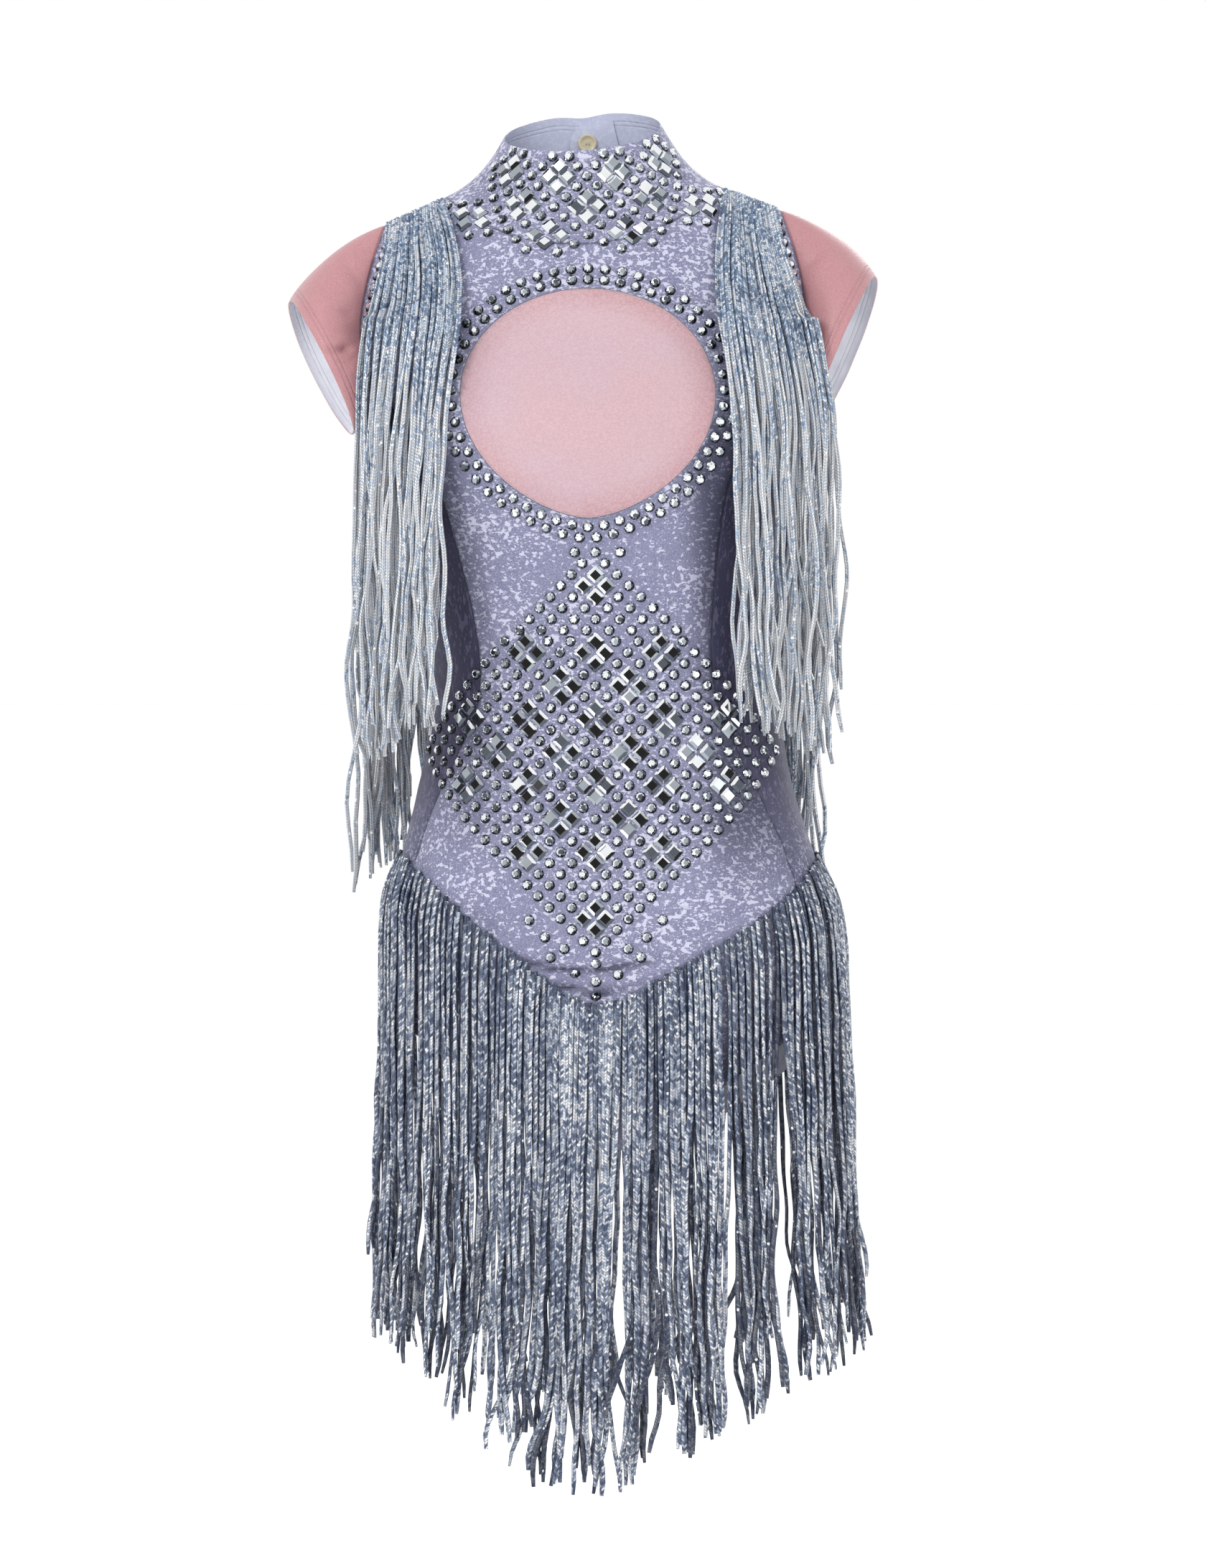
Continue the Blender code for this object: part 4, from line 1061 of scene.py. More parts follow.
def cloth(shell, points, normals, piece, looks, shade, hollow, thick=CLOTH - 0.1):
    spots, local, used = cloth_parts(shell, points, normals, piece, thick)
    faces = thickened(local, len(used))
    kinds = [0] * len(local) + [1] * len(local) + [0] * (len(faces) - 2 * len(local))
    result = made(piece + "_cloth", spots, faces, looks, kinds)
    seam, hem = edges_of(shell, piece)
    paint(result.data, "shade", [shade(point) for point in spots])
    # painted shade: the materials darken the cloth by hollow in its creases and by seam in its seam furrows
    paint(result.data, "hollow", [hollow[n] for n in used] * 2)
    paint(result.data, "seam", nearness(shell, used, seam) * 2)
    paint(result.data, "hem", nearness(shell, used, hem) * 2)
    return result


def window_outline(grown):
    """The egg-shaped window, seen from the front, moved outwards by a distance."""
    outline = []
    for k in range(WINDOW_POINTS):
        turn = 2 * math.pi * k / WINDOW_POINTS
        sine, cosine = math.sin(turn), math.cos(turn)
        if cosine >= 0:
            x, z = (WINDOW_HALF_WIDTH + grown) * sine, (WINDOW_UP + grown) * cosine
        else:
            x = (WINDOW_HALF_WIDTH + grown) * math.copysign(abs(sine) ** WINDOW_NARROWING, sine)
            z = (WINDOW_DOWN + grown) * cosine
        outline.append((WINDOW_CENTRE[0] + x, WINDOW_CENTRE[1] + z))
    return outline


def window_bar(name, grown):
    """A bar through the chest with the window's outline."""
    outline = window_outline(grown)
    near = [Vector((x, WINDOW_CUT[0], z)) for x, z in outline]
    far = [Vector((x, WINDOW_CUT[1], z)) for x, z in outline]
    count = len(outline)
    faces = [list(range(count))[::-1], [k + count for k in range(count)]]
    for k in range(count):
        after = (k + 1) % count
        faces.append([k, after, after + count, k + count])
    return made(name, near + far, faces, [], smooth=False)


def boolean(piece, bar, operation):
    """Cuts the piece with a bar, and leaves only the resulting mesh."""
    modifier = piece.modifiers.new("window", "BOOLEAN")
    modifier.solver = "EXACT"
    modifier.operation = operation
    modifier.object = bar
    graph = bpy.context.evaluated_depsgraph_get()
    mesh = bpy.data.meshes.new_from_object(piece.evaluated_get(graph))
    piece.modifiers.clear()
    piece.data = mesh
    bpy.data.objects.remove(bar)


def egg(x, z):
    """How far out a point lies in the window: 0 at its middle and 1 at its edge."""
    across = (x - WINDOW_CENTRE[0]) / WINDOW_HALF_WIDTH
    up = z - WINDOW_CENTRE[1]
    return math.hypot(across, up / (WINDOW_UP if up > 0 else WINDOW_DOWN))


def panel_shade(point):
    """How dark the front and back panels are, partly the print's darker contour and partly painted shade:
    deeper towards the side seams, most of all on the +X side in front, and painted shade towards the crotch."""
    x, z = point.x - read(TORSO, "centre", point.z), point.z
    if point.y > 30:
        return 0.35 * smooth_share(120, 160, abs(x))
    right = smooth_share(58, 92, x) * smooth_share(-95, -170, z) * smooth_share(-520, -420, z)
    left = 0.45 * smooth_share(-70, -98, x) * smooth_share(-120, -190, z) * smooth_share(-500, -400, z)
    low = 0.5 * smooth_share(-578, -640, z)
    return max(right * 0.85, left, low)


def side_shade(point):
    """How much of the dark print the side panel shows; it pales below, towards the hip."""
    return 1 - 0.55 * smooth_share(-400, -500, point.z)


def inset_shade(point):
    edge = egg(point.x, point.z)
    return smooth_share(0.72, 1.0, edge) * (0.75 if point.x > 0 else 0.5)


def plain_shade(point):
    return 0.0


# Stones

STONE_RADIUS = 4.0  # its rings are given as a share of this, and their height over the cloth
STONE_SIDES = 8
STONE_FOOT, STONE_GIRDLE, STONE_CROWN, STONE_TABLE = (0.97, -0.5), (1.0, 0.6), (0.76, 1.9), (0.44, 2.7)
SQUARE_HALF = 5.0
SQUARE_CORNER = 0.9  # how much its corners are cut
SQUARE_HEIGHTS = (-0.5, 0.7, 2.3)  # of its foot, girdle and table
TABLE_HALF = 2.9
REFLECTION_BRIGHT, REFLECTION_SILVER, REFLECTION_GREY, REFLECTION_DARK = range(4)  # the painted reflection tones' places in a mesh's materials
LIT_FROM = 2.2  # where the painted light comes from: up to the left, as an angle
LIT_ABOVE = (0.72, 0.2, -0.55)  # how lit a facet has to be to get a painted bright, silver or grey reflection

# A square stone's chances of a table with a painted bright, silver or grey reflection, or else a black one
DARK_TABLES = (0.05, 0.08, 0.15)
LEFT_TABLES = (0.12, 0.34, 0.36)
RIGHT_TABLES = (0.66, 0.20, 0.08)
COLLAR_TABLES = (0.40, 0.40, 0.14)


class Stones:
    """Many stones gathered into one mesh, each facet with one of four painted reflection tones, lit and
    shaded copies of one mirror.
    """

    def __init__(self, seed, light=0.0):
        self.points, self.faces, self.kinds = [], [], []
        self.chance = random.Random(seed)
        self.light = light

    def tone(self, bright, silver, grey):
        pick = self.chance.random()
        if pick < bright:
            return REFLECTION_BRIGHT
        if pick < bright + silver:
            return REFLECTION_SILVER
        return REFLECTION_GREY if pick < bright + silver + grey else REFLECTION_DARK

    def lit(self, turn, lift=0.0):
        """A facet's painted reflection tone by the way it faces: bright up to the left, dark down to the
        right.
        """
        value = math.cos(turn - LIT_FROM) + self.light + lift + self.chance.uniform(-0.6, 0.6)
        return sum(value <= least for least in LIT_ABOVE)

    def ring(self, at, across, up, out, spots, lift):
        first = len(self.points)
        for x, y in spots:
            self.points.append(at + across * x + up * y + out * lift)
        return list(range(first, first + len(spots)))

    def face(self, ids, kind):
        self.faces.append(ids)
        self.kinds.append(kind)

    def axes(self, out, turn):
        up = Vector((0, 0, 1))
        up = (up - out * up.dot(out)).normalized()
        across = up.cross(out)
        sine, cosine = math.sin(turn), math.cos(turn)
        return across * cosine + up * sine, up * cosine - across * sine

    def round(self, at, out):
        start = self.chance.uniform(0, math.pi)
        across, up = self.axes(out, start)
        wobble = Vector([self.chance.uniform(-0.07, 0.07) for _ in range(3)])
        out = (out + wobble).normalized()
        n = STONE_SIDES

        def circle(level, count, half=0.0):
            turns = [2 * math.pi * (k + half) / count for k in range(count)]
            reach = STONE_RADIUS * level[0]
            spots = [(reach * math.cos(t), reach * math.sin(t)) for t in turns]
            return self.ring(at, across, up, out, spots, level[1])

        foot, girdle = circle(STONE_FOOT, 2 * n), circle(STONE_GIRDLE, 2 * n)
        crown, table = circle(STONE_CROWN, n), circle(STONE_TABLE, n, 0.5)
        # painted reflections: a dark foot, crown facets by the way they face, and a table at random
        for k in range(2 * n):
            after = (k + 1) % (2 * n)
            self.face([foot[k], foot[after], girdle[after], girdle[k]], REFLECTION_GREY if k % 3 else REFLECTION_DARK)
        for k in range(n):
            after = (k + 1) % n
            turn = start + 2 * math.pi * k / n
            between = turn + math.pi / n
            middle, right, left = girdle[2 * k], girdle[2 * k + 1], girdle[2 * k - 1]
            here, there = crown[k], crown[after]
            for ids, facing, lift in (
                ([here, left, middle], turn, -0.55), ([here, middle, right], turn, -0.55),
                ([here, right, there], between, -0.35), ([here, there, table[k]], between, 0.1),
                ([table[k], there, table[after]], turn, 0.1),
            ):
                self.face(ids, self.lit(facing, lift))
        self.face(table, self.tone(0.22 + self.light / 2, 0.44, 0.20))

    def square(self, at, out, turn, odds):
        """A square stone; odds are its table's chances of a painted bright, silver or grey reflection, or
        else a black one.
        """
        turn += self.chance.uniform(-0.05, 0.05)
        across, up = self.axes(out, turn)
        h, c, t = SQUARE_HALF, SQUARE_HALF - SQUARE_CORNER, TABLE_HALF
        outline = [(h, -c), (h, c), (c, h), (-c, h), (-h, c), (-h, -c), (-c, -h), (c, -h)]
        inner = [(t, -t), (t, t), (-t, t), (-t, -t)]
        levels = zip((outline, outline, inner), SQUARE_HEIGHTS)
        foot, girdle, table = [self.ring(at, across, up, out, spots, lift) for spots, lift in levels]
        for k in range(8):
            after = (k + 1) % 8
            self.face([foot[k], foot[after], girdle[after], girdle[k]], REFLECTION_GREY)
        for k in range(4):
            a, b = girdle[2 * k], girdle[2 * k + 1]
            faces = turn + math.pi / 2 * k
            self.face([a, b, table[(k + 1) % 4], table[k]], self.lit(faces, 0.25))
            self.face([b, girdle[(2 * k + 2) % 8], table[(k + 1) % 4]], self.lit(faces + math.pi / 4, 0.2))
        self.face(table, self.tone(*odds))

    def build(self, name, looks):
        return made(name, self.points, self.faces, looks, self.kinds, smooth=False)


def on_cloth(tree, point):
    """The nearest place on the cloth, and its normal there."""
    return tree.find_nearest(point)[:2]


UNIT = 8.2  # half the distance between neighbouring stones in a row
DIAMOND_CENTRE = (829.5, 1048)
DIAMOND_REACH = 18
# Clusters of four squares, in steps of three units across and down from the diamond's middle
CLUSTERS = [
    (0, -5), (-2, -3), (0, -3), (2, -3), (-1, -2), (1, -2), (-4, -1), (-2, -1), (0, -1), (2, -1), (4, -1),
    (-3, 0), (-1, 0), (1, 0), (3, 0), (-4, 1), (-2, 1), (0, 1), (2, 1), (4, 1), (-1, 2), (1, 2),
    (-2, 3), (0, 3), (2, 3), (0, 5),
]
# Single stones below the diamond, by pixel
SINGLES = [
    (801, 1357), (861, 1358), (830, 1343), (830, 1368), (830, 1389), (767, 1334), (893, 1334),
    (737, 1282), (923, 1282), (759, 1306), (901, 1306), (786, 1322), (875, 1322),
]


def section(height):
    """The body's outline at one height, from the centre back round by -X, as points in order."""
    return [place(torso(angle, height)) for angle in range(-180, 181)]


def along_section(centre, distance):
    """The place at a distance round the body from a point on its front, at the same height."""
    outline = section(centre.z)
    k = min(range(90, 271), key=lambda i: abs(outline[i].x - centre.x))
    step = 1 if distance > 0 else -1
    left = abs(distance)
    while left > 0:
        span = (outline[k + step] - outline[k]).length
        if span >= left:
            return outline[k].lerp(outline[k + step], left / span)
        left -= span
        k += step
    return outline[k].copy()


def diamond(stones, tree):
    squares = {}
    for i, j in CLUSTERS:
        for da, db in ((0, 1), (0, -1), (1, 0), (-1, 0)):
            squares[(3 * i + da, 3 * j + db)] = True
    for b in range(-DIAMOND_REACH, DIAMOND_REACH + 1):
        centre = seen(tree, DIAMOND_CENTRE[0], DIAMOND_CENTRE[1] + b * UNIT / PIXEL)
        for a in range(-DIAMOND_REACH, DIAMOND_REACH + 1):
            if (a + b) % 2 or abs(a) + abs(b) > DIAMOND_REACH:
                continue
            spot = along_section(centre, a * UNIT) if a else centre
            spot, out = on_cloth(tree, spot)
            if (a, b) in squares:
                flank = LEFT_TABLES if a < 0 else RIGHT_TABLES
                stones.square(spot, out, math.pi / 4, flank if abs(a) > 7 else DARK_TABLES)
            else:
                stones.round(spot, out)
    for a, b in ((-2, -DIAMOND_REACH), (2, -DIAMOND_REACH)):
        centre = seen(tree, DIAMOND_CENTRE[0], DIAMOND_CENTRE[1] + b * UNIT / PIXEL)
        stones.round(*on_cloth(tree, along_section(centre, a * UNIT)))
    for px, py in SINGLES:
        stones.round(*on_cloth(tree, seen(tree, px, py)))


def spaced(line, count, closed=True):
    """Evenly spaced places along a line of points."""
    path = line + line[:1] if closed else line
    lengths = lengths_along(path)
    found, k = [], 0
    stops = count if closed else count - 1
    for i in range(count):
        wanted = lengths[-1] * i / stops
        while k < len(path) - 2 and lengths[k + 1] < wanted:
            k += 1
        share = (wanted - lengths[k]) / (lengths[k + 1] - lengths[k])
        found.append(path[k].lerp(path[k + 1], share))
    return found


WINDOW_RINGS = ((6.3, 50), (14.2, 51))  # distance from the window, and number of stones


def window_ring(stones, tree):
    for grown, count in WINDOW_RINGS:
        line = [Vector((x, -300, z)) for x, z in window_outline(grown)]
        for start in spaced(line, count):
            hit = tree.ray_cast(start, Vector((0, 1, 0)))[0]
            stones.round(*on_cloth(tree, hit))


COLLAR_UNIT = 7.7
COLLAR_TURN = 6.05  # degrees a unit
COLLAR_ROW_NOUGHT = 43  # distance of the middle row under the top edge
COLLAR_CENTRE_TURN = 2.6
COLLAR_CLUSTERS = [
    (-9, -3), (-9, 3), (-6, 0), (-3, -3), (-3, 3), (0, 0), (3, -3), (3, 3), (6, 0), (9, -3), (9, 3),
]


def down_collar(turn, distance):
    """The place at a distance below the collar's top edge, on past its seam if need be."""
    line = [place(collar(turn, share)) for share in steps(1, 0, 40)]
    left = distance
    for a, b in zip(line, line[1:]):
        span = (b - a).length
        if span >= left:
            return a.lerp(b, left / span)
        left -= span
    along = (line[-1] - line[-2]).normalized()
    return line[-1] + along * left


def collar_stones(stones, tree):
    squares, rounds = set(), set()
    for i, j in COLLAR_CLUSTERS:
        squares |= {(i, j + 1), (i, j - 1), (i + 1, j), (i - 1, j)}
        for p in (-3, -1, 1, 3):
            for q in (-3, -1, 1, 3):
                if max(abs(p), abs(q)) == 3:
                    rounds.add((i + (p + q) // 2, j + (p - q) // 2))
    rounds = {(a, b) for a, b in rounds - squares if -5 <= b <= 5 and abs(a) <= 12 and (a, b) != (0, -5)}
    for a, b in sorted(squares | rounds):
        turn = COLLAR_CENTRE_TURN + a * COLLAR_TURN
        spot, out = on_cloth(tree, down_collar(turn, COLLAR_ROW_NOUGHT + b * COLLAR_UNIT))
        if (a, b) in squares:
            stones.square(spot, out, math.pi / 4, COLLAR_TABLES)
        else:
            stones.round(spot, out)


ARMHOLE_STONES = 17
ARMHOLE_ROW = 11  # distance from the seam, towards a point inside the chest
ARMHOLE_MIDDLE = (96, -75)


def armhole_stones(stones, tree):
    for side in (-1, 1):
        line = [place(point) for point in armhole(side)[: CHEST_ROWS + SIDE_LANES // 2]]
        inner = []
        for point in line:
            centre = Vector((side * ARMHOLE_MIDDLE[0], point.y, ARMHOLE_MIDDLE[1]))
            inner.append(point + (centre - point).normalized() * ARMHOLE_ROW)
        for spot in spaced(inner, ARMHOLE_STONES, closed=False):
            stones.round(*on_cloth(tree, spot))


def hip_line(angle, front):
    """Height of the hip fringe's tape, a V in front and a shallower one behind."""
    across, ahead = sine_cosine(angle)
    depth = HIP_DEPTHS[0] if front else HIP_DEPTHS[1]
    power = abs(across / HIP_SPREAD) ** SQUARENESS + abs(ahead / depth) ** SQUARENESS
    beside = across * power ** (-1 / SQUARENESS) - (HIP_POINT_ASIDE if front else 0)
    rise = math.sqrt(beside * beside + HIP_POINT * HIP_POINT) - HIP_POINT
    slopes = HIP_FRONT_SLOPES if front else HIP_BACK_SLOPES
    slope = slopes[0] if beside < 0 else slopes[1]
    return (HIP_FRONT_LOW if front else HIP_BACK_LOW) + slope * rise


def on_hips(angle, reach, height):
    """A point at an angle, distance and height from the line that the skirt goes round."""
    sine, cosine = sine_cosine(angle)
    return HIP_FRINGE_CENTRE + Vector((sine, -cosine, 0)) * reach + Vector((0, 0, height))


def hip_radius(tree, angle, height):
    """How far the cloth reaches from the fringe's centre at one angle and height, or 0."""
    centre, far = on_hips(angle, 0, height), on_hips(angle, OUTSIDE, height)
    hit = tree.ray_cast(far, (centre - far).normalized(), OUTSIDE)[0]
    return (hit - centre).length if hit else 0


def fan_edge(side, way, edge, height):
    word = ("left" if side < 0 else "right") + ("_inner" if edge == 0 else "_outer")
    return side * read(FRONT_FAN if way < 0 else BACK_FAN, word, height)


def draped(tree, x, angle, lift):
    """A point over the shoulder, at an angle forward from upright (backward if negative)."""
    start = Vector((x, 0, DRAPE_CENTRE))
    sine, cosine = sine_cosine(angle)
    way = Vector((0, -sine, cosine))
    hit = tree.ray_cast(start + way * OUTSIDE, -way)[0]
    return (hit + way * lift) if hit else start + way * (100 + lift)


def fall_depth(tree, x, height, way):
    """How far forward (way -1) or backward (way 1) the cloth reaches at one place seen from there."""
    hit = tree.ray_cast(Vector((x, way * OUTSIDE, height)), Vector((0, -way, 0)))[0]
    return way * hit.y if hit else -OUTSIDE


CORD_SIDES = 6
CORD_END = 0.72  # of its width


class Cords:
    """Many strands gathered into one mesh, with how far round and how far along for the chain pattern."""

    def __init__(self):
        self.points, self.faces, self.uvs, self.under = [], [], [], []
        self.number = 0

    def add(self, path, outs, half_width, half_depth, under=0.0, twist=None):
        """One strand along a path; outs gives the side that faces away from the cloth at each point,
        under how much it lies in the others' shade, and twist how far it turns on the way."""
        rings, lengths, sides = [], lengths_along(path), CORD_SIDES
        for k, point in enumerate(path):
            along = (path[min(k + 1, len(path) - 1)] - path[max(k - 1, 0)]).normalized()
            across = along.cross(outs[k]).normalized()
            out = across.cross(along)
            taper = CORD_END if k == len(path) - 1 else 1.0
            rings.append(len(self.points))
            for i in range(sides):
                turn = 2 * math.pi * i / sides
                x, y = math.sin(turn) * half_width * taper, math.cos(turn) * half_depth * taper
                if twist:
                    lean = twist(k / (len(path) - 1))
                    x, y = x * math.cos(lean) - y * math.sin(lean), x * math.sin(lean) + y * math.cos(lean)
                self.points.append(point + across * x + out * y)
                self.under.append(under)
        for k in range(len(path) - 1):
            for i in range(sides):
                after = (i + 1) % sides
                a, b = rings[k], rings[k + 1]
                self.faces.append([a + i, a + after, b + after, b + i])
                left, right = self.number + i / sides, self.number + (i + 0.999) / sides
                low, high = lengths[k], lengths[k + 1]
                self.uvs += [(left, low), (right, low), (right, high), (left, high)]
        end = rings[-1]
        self.faces.append([end + i for i in range(sides)])
        self.uvs += [(self.number + 0.5, lengths[-1])] * sides
        start = rings[0]
        self.faces.append([start + i for i in reversed(range(sides))])
        self.uvs += [(self.number + 0.5, 0.0)] * sides
        self.number += 1

    def build(self, name, look):
        result = made(name, self.points, self.faces, [look], sharp=80)
        layer = result.data.uv_layers.new(name="cord")
        layer.data.foreach_set("uv", [c for uv in self.uvs for c in uv])
        paint(result.data, "under", self.under)
        return result


TURN = 6.283  # once round, in radians


def wander(chance, waves):
    """A smooth random line: how far off at each share of the way, from waves of (count, size)."""
    parts = [(count * chance.uniform(0.8, 1.25), size, chance.uniform(0, TURN)) for count, size in waves]
    return lambda share: sum(size * math.sin(TURN * count * share + start) for count, size, start in parts)


def clumps(chance, smallest, largest):
    """Where neighbouring strands bunch together: edges between 0 and 1, and each bunch's middle and pull."""
    edges = [0.0]
    while edges[-1] < 1:
        edges.append(min(edges[-1] + chance.uniform(smallest, largest), 1.0))
    found = []
    for a, b in zip(edges, edges[1:]):
        found.append((b, (a + b) / 2 + chance.uniform(-0.2, 0.2) * (b - a), chance.uniform(0.30, 0.72)))
    return found


def bunched(bunches, share):
    """How far a strand is drawn towards the middle of its bunch."""
    for edge, middle, pull in bunches:
        if share <= edge:
            return (middle - share) * pull
    return 0.0


TAUT_PASSES = 40


def taut(reaches):
    """The same distances, with hollows bridged, as a strand that hangs over a bump would."""
    line = list(reaches)
    for _ in range(TAUT_PASSES):
        for i in range(1, len(line) - 1):
            line[i] = max(line[i], (line[i - 1] + line[i + 1]) / 2)
    return line


# How strands wander: how many waves along one, and their size in millimetres, or radians for the twist
HIP_DRIFT = ((0.6, 2.2), (1.6, 1.7), (3.4, 1.1), (6.5, 0.55))
HIP_CURL = ((3, 2.0), (6, 0.8))
HIP_WAVES_OUT = ((0.7, 1.6), (2.2, 1.2), (5.5, 0.5))
FALL_DRIFT = ((0.7, 2.6), (1.8, 1.9), (3.6, 1.1), (7, 0.5))
FALL_CURL = ((3, 1.8), (6, 0.7))
TWIST = ((0.8, 0.5), (2.6, 0.35))
CORD_DEPTH = 0.66  # of its width
HIP_MISSING = (0.12, 0.07)  # the chance that a strand is left out, in the lower and the upper layer
HIP_SHADE = (0.80, 0.04)  # how much the lower and the upper layer lie in the others' shade
FALL_SHADE = (0.34, 0.18, 0.04)
HIP_COUNTS = {True: 94, False: 80}
HIP_LAYERS = 2
HIP_STEPS = 42
HIP_CORD = 2.2  # half a strand's width
SHOULDER_CORD = 1.8
HIP_LEAN = (-6, 5)  # the skirt's drift towards +X on its way down, at the middle and at the sides
HIP_LIFT = 2.2  # from the cloth to the middle of a strand
HIP_LAYER = 2.9


def hip_skirt(tree, front, bunches, chance):
    cords = Cords()
    count = HIP_COUNTS[front]
    start, pitch = (-90 if front else 90), 180 / count
    for layer in range(HIP_LAYERS):
        for k in range(count):
            if chance.random() < HIP_MISSING[layer]:
                continue
            share_in = (k + 0.25 + 0.5 * layer + chance.uniform(-0.2, 0.2)) / count
            angle = start + 180 * share_in
            across = math.sin(math.radians(angle))
            seen_from_front = share_in if front else 1 - share_in
            towards = bunched(bunches, seen_from_front) * (180 if front else -180)
            towards += chance.uniform(-0.7, 0.7) * pitch
            length = HIP_FRINGE_LENGTH * chance.uniform(0.945, 1.025)
            if chance.random() < 0.10:
                length *= chance.uniform(0.82, 0.95)
            drift, curl = wander(chance, HIP_DRIFT), wander(chance, HIP_CURL)
            depth, twist = wander(chance, HIP_WAVES_OUT), wander(chance, TWIST)
            lean = chance.uniform(-4, 4)
            flick = chance.uniform(-24, 24) if chance.random() < 0.40 else chance.uniform(-7, 7)
            top = hip_line(angle, front) + TAPE_HEIGHT / 2 + 0.8 + chance.uniform(-2.4, 2.4)
            shares = [(i / (HIP_STEPS - 1)) ** 1.1 for i in range(HIP_STEPS)]
            widest, passed, reaches = 0, top, []
            for share in shares:
                height = top - share * length
                while passed > max(height - 10 * min(1, share * 8), CROTCH_HEIGHT):
                    passed -= 4
                    widest = max(widest, hip_radius(tree, angle, passed))
                widest = max(widest, hip_radius(tree, angle, height) if share < 0.02 else 0)
                reaches.append(widest)
            path, outs = [], []
            for share, reach in zip(shares, taut(reaches)):
                height = top - share * length
                loose = share**1.3
                sideways = drift(share) * loose * 1.7 + lean * share**2.2
                sideways += (curl(share) + flick * share) * smooth_share(0.74, 1.0, share)
                turn = angle + towards * smooth_share(0.10, 0.80, share)
                turn += math.degrees(sideways / HIP_RADIUS)
                reach += HIP_LIFT + HIP_LAYER * layer * min(1, share * 10) + HIP_FLARE * share**1.5
                reach += depth(share) * loose * 1.5 + 0.3 * abs(flick) * smooth_share(0.8, 1.0, share)
                spot = on_hips(turn, reach, height)
                spot.x += blend(*HIP_LEAN, abs(across)) * share
                path.append(spot)
                outs.append((spot - on_hips(turn, 0, height)).normalized())
            half = HIP_CORD * chance.uniform(0.85, 1.08)
            cords.add(path, outs, half, half * CORD_DEPTH, HIP_SHADE[layer], twist)
    return cords


SHOULDER_LAYERS = 3
SHOULDER_COUNT = 21
FALL_LIFT = 2.4  # from the cloth to the middle of the lowest layer's strands, and between layers
FALL_LAYER = 2.5
FALL_STEPS = 25
OVER_ANGLES = (3, 5, 8, 12, 17, 23, 29, 36, 44, 54)
OVER_HEIGHTS = (20, 18, 15, 10, 2, -8, -20, -32, -46, -62)


def shoulder_fall(tree, side, way, chance):
    """The fringe of one shoulder, over the chest (way -1) or the back (way 1)."""
    cords = Cords()
    ends = FRONT_FALL_ENDS if way < 0 else BACK_FALL_ENDS
    for layer in range(SHOULDER_LAYERS):
        bunches = clumps(chance, 0.10, 0.28)
        for k in range(SHOULDER_COUNT):
            share_in = (k + 0.5 + chance.uniform(-0.45, 0.45)) / SHOULDER_COUNT
            towards = bunched(bunches, share_in)
            end = blend(ends[0], ends[1], share_in) + chance.uniform(-16, 12)
            if chance.random() < 0.12:
                end += chance.uniform(10, 60)
            drift, curl, twist = wander(chance, FALL_DRIFT), wander(chance, FALL_CURL), wander(chance, TWIST)
            lean = chance.uniform(-7, 7)
            half = SHOULDER_CORD * chance.uniform(0.85, 1.1)
            gap = FALL_LIFT + layer * FALL_LAYER
            depth, passed = 0, FALL_START
            path, outs = [], []
            falls = [blend(FALL_START, end, share**1.05) for share in steps(0, 1, FALL_STEPS)]
            total = OVER_HEIGHTS[0] - end
            for i, height in enumerate([*OVER_HEIGHTS, *falls]):
                share = (OVER_HEIGHTS[0] - height) / total
                loose = share**1.2
                inner, outer = fan_edge(side, way, 0, height), fan_edge(side, way, 1, height)
                over = share_in + towards * smooth_share(0.1, 0.8, share)
                x = blend(inner, outer, over) + drift(share) * loose * 1.6 + lean * share**2
                x += curl(share) * smooth_share(0.6, 1.0, share)
                if i < len(OVER_ANGLES):
                    angle = math.radians(OVER_ANGLES[i])
                    spot = draped(tree, x, -way * OVER_ANGLES[i], gap * min(1, 0.45 + share * 6))
                    depth = max(depth, way * spot.y)
                    out = Vector((0, way * math.sin(angle), math.cos(angle)))
                    if i == 0:
                        out = Vector((0, way * 0.2, 1)).normalized()
                else:
                    while passed > height - FALL_AHEAD:
                        passed -= FALL_STEP
                        depth = max(depth, fall_depth(tree, x, passed, way) + gap)
                    sway = 1.4 * math.sin(5 * share + 1.7 * layer + side)
                    spot = Vector((x, way * (depth + sway * loose + 0.6 * layer), height))
                    out = Vector((0, way, 0))
                path.append(spot)
                outs.append(out)
            cords.add(path, outs, half, half * CORD_DEPTH, FALL_SHADE[layer], twist)
    return cords


def tape(name, look, spots):
    """A narrow woven tape along places on the cloth, each with its outward side and its lower edge."""
    points, faces = [], []
    for spot, out, down in spots:
        for drop, lift in ((0, TAPE_IN), (0, TAPE_OUT), (TAPE_HEIGHT, TAPE_OUT), (TAPE_HEIGHT, TAPE_IN)):
            points.append(spot + down * drop + out * lift)
    for k in range(len(spots) - 1):
        for i in range(4):
            a, b = 4 * k + i, 4 * k + (i + 1) % 4
            faces.append([a, b, b + 4, a + 4])
    faces.append([3, 2, 1, 0])
    last = 4 * (len(spots) - 1)
    faces.append([last, last + 1, last + 2, last + 3])
    return made(name, points, faces, [look])


def hip_tape_spots(tree, front):
    spots = []
    start = -90 if front else 90
    for angle in steps(start + 0.4, start + 179.6, 120):
        height = hip_line(angle, front) + TAPE_HEIGHT / 2
        at = on_hips(angle, hip_radius(tree, angle, height), height)
        lower = on_hips(angle, hip_radius(tree, angle, height - TAPE_HEIGHT), height - TAPE_HEIGHT)
        out = (at - on_hips(angle, 0, height)).normalized()
        spots.append((at, out, (lower - at) / TAPE_HEIGHT))
    return spots


